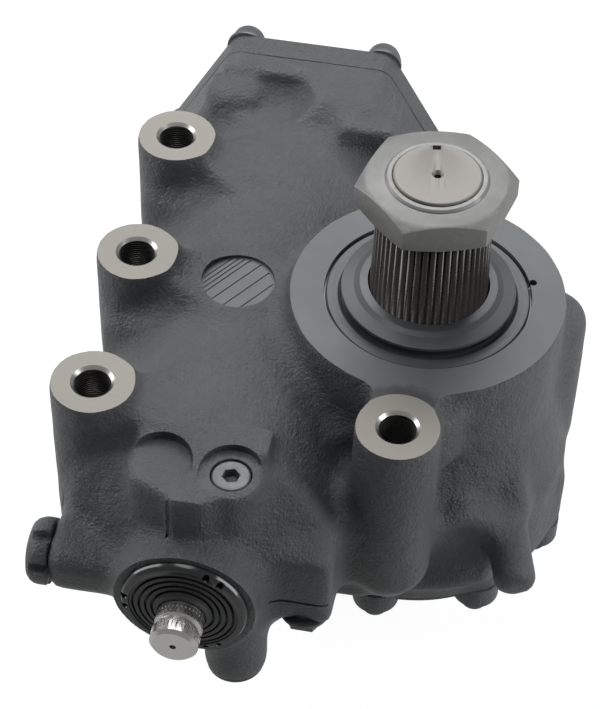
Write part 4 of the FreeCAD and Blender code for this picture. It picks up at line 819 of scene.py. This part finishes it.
def material_of(name):
    """Each material made once, from its row in the table."""
    if name not in MATERIALS:
        make, colour, factor, settings = FINISHES[name]
        if isinstance(colour, str):
            scene = bpy.context.scene
            group = scene.gearbox_casting if colour == "paint" else scene.gearbox_machined
            colour = tuple(getattr(group, colour))
        MATERIALS[name] = make(name, shade(colour, factor), **settings)
    return MATERIALS[name]


def dress(node_name, finish):
    """Gives a carried-over node its finish."""
    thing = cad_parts[node_name]
    for slot in thing.material_slots:
        slot.material = material_of(finish)


def finish_piece(thing, body, finishes, node_name):
    """Puts a piece on its body, with its materials and the node that it stands for."""
    for finish in finishes:
        thing.data.materials.append(material_of(finish))
    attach(thing, body)
    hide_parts(node_name)


def mark_faces(thing, finishes, rules):
    """Gives faces a finish by place: each rule tests a face's centre, in millimetres, and its normal."""
    for face in thing.data.polygons:
        centre = face.center / MM
        for finish, test in rules:
            if test(centre, face.normal):
                face.material_index = finishes.index(finish)
                break


# Pieces.


def thread_cutter(low, put):
    """A threaded mounting hole with its mouth chamfer, as rings of the thread's pitch."""
    top = -FACE_CUT
    wide = THREAD_CORE + THREAD_MOUTH * 1.1
    profile = [(0, low - 4), (THREAD_CORE, low)]
    height = low + THREAD_PITCH
    while height < top - THREAD_MOUTH - THREAD_PITCH:
        profile += [(THREAD_CORE, height), (THREAD_CORE, height + 0.25 * THREAD_PITCH),
                    (THREAD_CREST, height + 0.5 * THREAD_PITCH), (THREAD_CREST, height + 0.8 * THREAD_PITCH)]
        height += THREAD_PITCH
    profile += [(THREAD_CORE, height), (THREAD_CORE, top - THREAD_MOUTH), (wide, top), (wide, top + 6),
                (0, top + 6)]
    return lathe(profile, put, 72)


def casting_stock():
    """Stock on the faces that are milled later, and fillings of what is bored later."""
    shapes = [rod(BOSS_RADIUS, -30, STOCK, up((x, y, 0))) for x, y in BOSSES]
    shapes += [
        rod(TOWER_RADIUS, -47, STOCK, up(), FINE),
        rod(HEAD_RADIUS, HEAD_FRONT - STOCK, HEAD_FRONT + 45, along_worm, MIDDLE),
        rod(STUB_RADIUS, PORT_END + 3, PORT_END + 40, along_x((0, *PORT_AXIS))),
        rod(DRUM_RADIUS, SIDE_JOINT - STOCK, SIDE_JOINT + 40, up(), FINE),
    ]
    return shapes


def soft_forms():
    """Ledges, ribs and swellings that run into the casting with wide fillets."""
    shapes = []
    for line, centre, foot in LEDGES:
        shapes += ledge(line, centre, foot)
    for line in BOSS_RIBS:
        shapes += ridge(line, [BOSS_RIB_RADIUS] * len(line))
    for line, radii in DRUM_RIDGES:
        shapes += ridge(line, radii)
    shapes += [
        bar_along_x(PORT_SECTION, -162, -100),
        rod(SPOT_RADIUS + 6, -40, SPOT_LEVEL + 2, up((*SPOT, 0))),
        rod(SWELLING_RADIUS, -34, 0, between(SWELLING_FACE, SWELLING_BACK)),
        rod(COLUMN_RADIUS, RELIEF_END - 3, -60, up((*RELIEF_PORT[:2], 0)), MIDDLE),
    ]
    return shapes


def carvings():
    """Groups of hollows of the casting; those of one group don't touch each other."""
    return [
        [lathe(VALLEY_PROFILE, along_x(VALLEY_AXIS), 72)],
        [block(*BLOCK_SLOT)],
    ]


def crisp_forms():
    """Pads, the dome and what else stands on the casting with narrow edges."""
    return [
        rod(PAD_RADIUS, -70, PAD_TOP, up((*SCREW_BOSS, 0)), MIDDLE),
        slab(BRIDGE_OUTLINE, -74, PAD_TOP),
        slab(KIDNEY_OUTLINE, -78, PAD_TOP - 1),
        lathe(DOME_PROFILE, up((*DOME, 0)), 72),
        *[block(*corners) for corners in CORNER_BLOCKS],
        rod(PAD_RADIUS, RELIEF_END - 3, RELIEF_END + 20, up((*RELIEF_PORT[:2], 0))),
        prism(round_hexagon(COVER_CORNER, COVER_ROUND), COVER_JOINT - 14, COVER_JOINT + STOCK, along_worm),
        slab(PAD_WALL, -60),
        slab(BOSS_FACET, -45),
        bar_along_x(PORT_SECTION, -162, -128),
    ]


def cast_trims():
    """What shapes the cast skin before its surface is made uneven."""
    spot_faces = [rod(16.2, PAD_TOP - 1.1, CLEAR, up((*PLAIN_BOSS, 0)), 96),
                  rod(PAD_RADIUS + 0.4, PAD_TOP - 0.1, CLEAR, up((*SCREW_BOSS, 0)), 96)]
    parting_mark = lathe([(0, -50), (1.9, -34), (1.9, -12), (0, -12)], up((*PARTING_MARK, 0)), 24)
    return [spot_faces, [parting_mark],
            [cover_edge(COVER_JOINT - 15, COVER_JOINT + 8)]]


def cover_edge(low, high):
    """What lies outside the six-sided cover's outline between two places along the worm."""
    return collar(round_hexagon(COVER_CORNER, COVER_ROUND), FAR, low, high, along_worm)


def casting_bores():
    """Groups of machined hollows; those of one group don't touch each other."""
    mounting = [thread_cutter(-depth, up((x, y, 0))) for (x, y), depth in zip(BOSSES, BOSS_DEPTHS)]
    counterbore = lathe([(0, PAD_TOP - 32), (8, PAD_TOP - 32), (8, PAD_TOP - 8), (10.3, PAD_TOP - 8),
                         (10.3, PAD_TOP - 0.8), (11.4, PAD_TOP + 6), (0, PAD_TOP + 6)], up((*SCREW_BOSS, 0)))
    cover_bolts = [rod(COVER_BOLT, COVER_JOINT - 24, COVER_JOINT + 2,
                       lambda a, s, h, x=x, z=z: (WORM_X + x + a, h, WORM_Z + z + s), COARSE)
                   for x, z in ring_spots(6, COVER_CIRCLE)]
    side_bolts = [rod(SIDE_BOLT, SIDE_JOINT - 2, SIDE_JOINT + 11.5, up((x, y, 0)), COARSE)
                  for x, y in ring_spots(8, SIDE_CIRCLE, SIDE_START)]
    ports = [rod(9, PORT_END - 4, PORT_END + 31, along_x((0, *PORT_AXIS))),
             rod(8, RETURN_PORT[2] - 1, RETURN_PORT[2] + 23, up((*RETURN_PORT[:2], 0))),
             rod(10, RELIEF_END - 4, RELIEF_PORT[2] + 29, up((*RELIEF_PORT[:2], 0)))]
    cylinder = rod(58, -115, COVER_JOINT + 2, along_worm, FINE)
    head = lathe([(0, HEAD_FRONT - 6), (32.6, HEAD_FRONT - 6), (32, HEAD_FRONT), (32, HEAD_FRONT + 12),
                  (28, HEAD_FRONT + 12), (28, -124), (0, -124)], along_worm, 120)
    chamber = lathe([(0, SIDE_JOINT - 1), (57, SIDE_JOINT - 1), (57, -48), (40, -48), (40, -16), (52.9, -16),
                     (52.9, -4.6), (54.5, -4.6), (54.5, -2.4), (52.9, -2.4), (52.9, -0.6), (53.5, 3), (0, 3)],
                    up(), FINE)
    small = [rod(13.6, RETURN_PORT[2] - 24, RETURN_PORT[2] + 0.01, up((*RETURN_PORT[:2], 0))),
             rod(SPOT_RADIUS, SPOT_LEVEL, -2.2, up((*SPOT, 0)), MIDDLE),
             block(*LOWER_SLOT),
             rod(2.1, -5, 3, up((*DOWEL, 0)), 24),
             lathe([(0, -5), (6.8, -5), (5.6, 2.6), (3.5, 3.4), (0, 3.4)],
                   between(SWELLING_EYE, SWELLING_EYE_BACK), COARSE)]
    return [
        [cylinder],
        [rod(24.3, -125, -113, along_worm, MIDDLE)],
        [head],
        [chamber],
        [rod(BOSS_RADIUS + 0.1, -FACE_CUT, 6, up((x, y, 0)), MIDDLE) for x, y in BOSSES],
        mounting + [counterbore] + cover_bolts + side_bolts + ports,
        small,
        [spot_groove(offset) for offset in SPOT_GROOVES],
    ]


def spot_groove(offset):
    """A shallow groove across the milled spot, where one pass of the cutter overlaps the next."""
    across = Vector((math.sin(SPOT_LINES), -math.cos(SPOT_LINES)))
    along = Vector((math.cos(SPOT_LINES), math.sin(SPOT_LINES)))
    reach = math.sqrt((SPOT_RADIUS - 0.4) ** 2 - offset ** 2) - 0.8
    outline = []
    for side, end in ((-1, -1), (1, -1), (1, 1), (-1, 1)):
        place = Vector(SPOT) + across * (offset + side * GROOVE_HALF) + along * (end * reach)
        outline.append((place.x, place.y))
    return slab(outline, SPOT_LEVEL - GROOVE_DEPTH, SPOT_LEVEL + 1.8)


def milled_planes():
    """What the milling cutters take off the faces of bosses, head, cover joint, drum and ports."""
    return [
        [block((-185, -140, 0), (100, 124, 12))],
        [block((-140, HEAD_FRONT - 20, -130), (-45, HEAD_FRONT, -30))],
        [block((-200, COVER_JOINT, -190), (40, COVER_JOINT + 20, 40))],
        [block((-90, -90, SIDE_JOINT - 20), (95, 90, SIDE_JOINT))],
        [block((PORT_END - 20, -160, -115), (PORT_END, -110, -65))],
        [block((-92, -158, RELIEF_END - 20), (-52, -117, RELIEF_END))],
    ]


def near(centre, spot, reach):
    """Whether a point is within a reach of a spot, seen from above."""
    return math.hypot(centre.x - spot[0], centre.y - spot[1]) < reach


def boss_reach(centre):
    """How far a point is from the axis of the nearest mounting hole, seen from above."""
    return min(math.hypot(centre.x - x, centre.y - y) for x, y in BOSSES)


def casting_rules():
    """Which faces of the casting are bare, threaded with painted shade in the roots, or painted over milling
    in a lighter paint that is a painted sheen.
    """
    deepest = -max(BOSS_DEPTHS) - 1
    root = (THREAD_CORE + 0.2, THREAD_CREST + 0.3)

    def level(centre, normal):
        return normal.z > 0.97 and abs(centre.z) < 0.1

    def milled_spot(centre, normal):
        level_with = SPOT_LEVEL - 1.5 < centre.z < SPOT_LEVEL + 0.1
        return level_with and normal.z > 0.99 and near(centre, SPOT, SPOT_RADIUS - 0.1)

    return [
        # Thread roots are painted dark: painted shade in the grooves.
        ("thread_root", lambda c, n: deepest < c.z < -2 and root[0] <= boss_reach(c) < root[1]),
        ("thread_steel", lambda c, n: deepest < c.z < -0.05 and boss_reach(c) < 12),
        ("bare_face", lambda c, n: n.z > 0.97 and abs(c.z + FACE_CUT) < 0.04 and boss_reach(c) < 24),
        # The flange and the milled spot take the lighter paint: a painted sheen.
        ("flange_paint", lambda c, n: level(c, n) or (near(c, (0, 0), 56) and c.z > -40)),
        ("flange_paint", milled_spot),
    ]


class GEARBOX_OT_casting(bpy.types.Operator):
    """Makes the housing's cast skin with its machined faces, bores and threads"""

    bl_idname = "gearbox.casting"
    bl_label = "Housing casting"

    def execute(self, context):
        sizes = context.scene.gearbox_casting
        bare = triangles_of(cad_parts["housing"])
        forms = with_shapes(with_shapes(bare, casting_stock()), soft_forms())
        step = sizes.voxel / MM
        rough = cast_surface("rough_casting", *forms, sizes.root_fillet / MM, sizes.edge_round / MM, step)
        for shapes in carvings():
            cut_away(rough, shapes)
        forms = with_shapes(triangles_of(rough), crisp_forms())
        bpy.data.objects.remove(rough)
        skin = cast_surface("housing_casting", *forms, sizes.crisp_fillet / MM, sizes.crisp_edge / MM, step)
        for shapes in cast_trims():
            cut_away(skin, shapes)
        uneven(skin, SKIN_WAVE, WAVE_SIZE)
        for shapes in milled_planes() + casting_bores():
            cut_away(skin, shapes)
        smooth(skin)
        mark_faces(skin, CASTING_FINISHES, casting_rules())
        finish_piece(skin, "casing", CASTING_FINISHES, "housing")
        return {"FINISHED"}


def eased(node_name, name, body, finish, width, angle=40.0, segments=2, cuts=()):
    """A node's own shape with its sharp edges rounded, in its finish."""
    piece = copied_node(node_name, name)
    if cuts:
        cut_away(piece, cuts)
    bevelled(piece, width, segments, angle)
    smooth(piece)
    finish_piece(piece, body, [finish], node_name)


class GEARBOX_OT_covers(bpy.types.Operator):
    """Makes the cast cylinder cover and side cover"""

    bl_idname = "gearbox.covers"
    bl_label = "Covers"

    def execute(self, context):
        below = SIDE_JOINT - SIDE_PLATE
        eased("cylinder_cover", "cylinder_cover_cast", "casing", "cast_paint", 1.4, 50, 3,
              [cover_edge(COVER_JOINT - 1, COVER_JOINT + 17)])
        eased("side_cover", "side_cover_cast", "casing", "cast_paint", 1.2, 50, 2,
              [collar(ring_spots(96, RIB_REACH), FAR, below - 14, below - 0.3, up())])
        return {"FINISHED"}


class GEARBOX_OT_bolts(bpy.types.Operator):
    """Makes the painted cover bolts and the adjuster"""

    bl_idname = "gearbox.bolts"
    bl_label = "Bolts"

    def execute(self, context):
        eased("cylinder_cover_bolts", "cover_bolts", "casing", "bolt_paint", 0.5)
        eased("side_cover_bolts", "lower_bolts", "casing", "bolt_paint", 0.5)
        eased("adjuster_lock_nut", "lock_nut", "casing", "bolt_paint", 0.4)
        dress("adjusting_screw", "bolt_paint")
        return {"FINISHED"}


class GEARBOX_OT_output(bpy.types.Operator):
    """Makes the output shaft, its nut, dust ring and seals"""

    bl_idname = "gearbox.output"
    bl_label = "Output shaft"

    def execute(self, context):
        shaft = copied_node("sector_shaft", "output_shaft")
        rings = [lathe([(21.2, height), (23.5, height - 1.0), (23.5, height + 1.0)], up())
                 for height in np.arange(*SHAFT_THREAD).tolist()]
        cut_away(shaft, rings)
        cut_away(shaft, [lathe(CENTRE_HOLE, up(), 40)])
        smooth(shaft, 28)
        mark_faces(shaft, SHAFT_FINISHES, [("shaft_end_steel", lambda c, n: c.z > 79.5)])
        finish_piece(shaft, "sector", SHAFT_FINISHES, "sector_shaft")
        eased("pitman_nut", "shaft_nut", "sector", "nut_phosphate", 0.5, 35)
        dress("sector_dust_ring", "dust_ring_satin")
        dress("sector_seal_carrier", "seal_carrier_satin")
        dress("sector_retaining_ring", "ring_nut_black")
        dress("sector_oil_seal", "seal_rubber")
        return {"FINISHED"}


class GEARBOX_OT_input(bpy.types.Operator):
    """Makes the input end: ring nut, dust boot and serrated shaft"""

    bl_idname = "gearbox.input"
    bl_label = "Input end"

    def execute(self, context):
        eased("input_ring_nut", "ring_nut", "casing", "ring_nut_black", 0.35)
        eased("input_dust_boot", "dust_boot", "casing", "boot_rubber", 0.3)
        dress("input_shaft", "input_steel")
        dress("input_seal", "seal_rubber")
        return {"FINISHED"}


class GEARBOX_OT_plugs(bpy.types.Operator):
    """Makes the limiter screw, the lobed port cap and the plugs"""

    bl_idname = "gearbox.plugs"
    bl_label = "Screws and plugs"

    def execute(self, context):
        eased("limiter_screw", "limiter_screw_socket", "casing", "bolt_paint", 0.3)
        eased("return_port_plug", "return_plug", "casing", "bolt_paint", 0.4)
        put = along_x((PORT_END, *PORT_AXIS))
        cap = mesh_object("port_cap", *lathe(PORT_CAP, put, FINE, PORT_CAP_LOBES, PORT_CAP_TURN))
        smooth(cap, 50)
        finish_piece(cap, "casing", ["cast_paint"], "pressure_port_plug")
        relief = mesh_object("relief_cap", *lathe(RELIEF_CAP, up((*RELIEF_PORT[:2], RELIEF_END))))
        smooth(relief)
        finish_piece(relief, "casing", ["ring_nut_black"], "relief_valve_plug")
        return {"FINISHED"}


class GEARBOX_OT_inside(bpy.types.Operator):
    """Finishes the pieces inside the housing"""

    bl_idname = "gearbox.inside"
    bl_label = "Inner pieces"

    def execute(self, context):
        for node_name in GROUND_NODES:
            dress(node_name, "inner_steel")
        dress("ball_set", "ball_steel")
        dress("piston_ring", "seal_carrier_satin")
        dress("cylinder_cover_seal", "seal_rubber")
        dress("side_cover_seal", "seal_rubber")
        return {"FINISHED"}


# Stage.


def seen_by(tree, rays, straight, glossy):
    """A mask of the rays that come straight from the camera, and of those that come by a reflection."""
    seen = math_node(tree, "MAXIMUM", rays["Is Camera Ray"], rays["Is Transmission Ray"])
    seen = math_node(tree, "MULTIPLY", seen, straight)
    return math_node(tree, "MAXIMUM", seen, math_node(tree, "MULTIPLY", rays["Is Glossy Ray"], glossy))


def floor_material():
    """White floor that keeps a soft shadow."""
    material, tree, shader, where = start_material("floor_white", 0.0, 0.1)
    shader.inputs["Roughness"].default_value = 0.9
    tone = blended(tree, noise_of(tree, where, 40.0), (0.34, 0.34, 0.34), (0.36, 0.36, 0.36))
    rays = tree.nodes.new("ShaderNodeLightPath").outputs
    tone = blended(tree, rays["Is Camera Ray"], tone, (0.9, 0.9, 0.9))
    tree.links.new(tone, shader.inputs["Base Color"])
    glow = node(tree, "ShaderNodeEmission", {"Color": (1, 1, 1, 1), "Strength": 1.15})
    mix = node(tree, "ShaderNodeMixShader",
               {0: seen_by(tree, rays, 0.82, 0.35), 1: shader.outputs[0], 2: glow.outputs[0]})
    tree.links.new(mix.outputs[0], tree.nodes["Material Output"].inputs["Surface"])
    return material


def area_light(name, place, target, width, height, watts):
    """A soft light that looks at a target."""
    data = bpy.data.lights.new(name, "AREA")
    data.shape = "RECTANGLE"
    data.size = width
    data.size_y = height
    data.energy = watts * bpy.context.scene.gearbox_stage.light
    lamp = bpy.data.objects.new(name, data)
    lamp.location = place
    lamp.rotation_euler = (Vector(target) - Vector(place)).to_track_quat("-Z", "Y").to_euler()
    bpy.context.scene.collection.objects.link(lamp)


class GEARBOX_OT_stage(bpy.types.Operator):
    """Makes the floor, the lights and the camera"""

    bl_idname = "gearbox.stage"
    bl_label = "Stage"

    def execute(self, context):
        low = CAD_BOX[0][2] - FLOOR_GAP
        corners = [(x * FLOOR_REACH, y * FLOOR_REACH, low) for x, y in ((-1, -1), (1, -1), (1, 1), (-1, 1))]
        floor = mesh_object("stage_floor", corners, [[0, 1, 2, 3]], 1.0)
        floor.data.materials.append(floor_material())
        self.light_world(context)
        for name, place, width, height, watts in LAMPS:
            area_light(name, place, LAMP_TARGET, width, height, watts)
        self.place_camera(context)
        return {"FINISHED"}

    def light_world(self, context):
        """White surroundings for the camera and reflections, and a plain fill light."""
        world = bpy.data.worlds.new("studio")
        world.use_nodes = True
        context.scene.world = world
        tree = world.node_tree
        rays = tree.nodes.new("ShaderNodeLightPath").outputs
        strength = mapped(tree, seen_by(tree, rays, 1.0, 0.3), 0.0, 1.0, 0.06, 1.0)
        background = tree.nodes["Background"]
        background.inputs["Color"].default_value = (1, 1, 1, 1)
        tree.links.new(strength, background.inputs["Strength"])

    def place_camera(self, context):
        """The photograph's viewing angle."""
        stage = context.scene.gearbox_stage
        turn, rise, roll = stage.azimuth, stage.elevation, stage.roll
        target = Vector(CAMERA_TARGET) * MM
        back = Vector((math.sin(turn) * math.cos(rise), -math.cos(turn) * math.cos(rise), math.sin(rise)))
        right = Vector((math.cos(turn), math.sin(turn), 0.0))
        high = back.cross(right)
        right_rolled = math.cos(roll) * right + math.sin(roll) * high
        high_rolled = -math.sin(roll) * right + math.cos(roll) * high
        data = bpy.data.cameras.new("photo_camera")
        data.lens = stage.lens
        data.sensor_width = 36.0
        camera = bpy.data.objects.new("photo_camera", data)
        place = Matrix((right_rolled, high_rolled, back)).transposed().to_4x4()
        place.translation = target + stage.distance * back
        camera.matrix_world = place
        context.scene.collection.objects.link(camera)
        context.scene.camera = camera
        context.scene.view_settings.view_transform = "Standard"


class GEARBOX_PT_panel(bpy.types.Panel):
    """Lists the gearbox's settings and steps"""

    bl_label = "Steering gearbox"
    bl_idname = "GEARBOX_PT_panel"
    bl_space_type = "VIEW_3D"
    bl_region_type = "UI"
    bl_category = "Gearbox"

    def draw(self, context):
        layout = self.layout
        for group in (getattr(context.scene, name) for name in SETTINGS):
            for key in group.bl_rna.properties.keys():
                if key not in ("rna_type", "name"):
                    layout.prop(group, key)
        for step in STEPS:
            layout.operator(step.bl_idname)


STEPS = (GEARBOX_OT_stage, GEARBOX_OT_casting, GEARBOX_OT_covers, GEARBOX_OT_bolts, GEARBOX_OT_output,
         GEARBOX_OT_input, GEARBOX_OT_plugs, GEARBOX_OT_inside)
SETTINGS = {"gearbox_casting": CastingSettings, "gearbox_machined": MachinedSettings,
            "gearbox_stage": StageSettings}


def register():
    for kind in (*SETTINGS.values(), *STEPS, GEARBOX_PT_panel):
        bpy.utils.register_class(kind)
    for name, kind in SETTINGS.items():
        setattr(bpy.types.Scene, name, bpy.props.PointerProperty(type=kind))


def unregister():
    for name in SETTINGS:
        delattr(bpy.types.Scene, name)
    for kind in (GEARBOX_PT_panel, *reversed(STEPS), *SETTINGS.values()):
        bpy.utils.unregister_class(kind)


def main():
    register()
    build_groups()
    for step in STEPS:
        group, name = step.bl_idname.split(".")
        getattr(getattr(bpy.ops, group), name)()


if __name__ == "__main__":
    main()
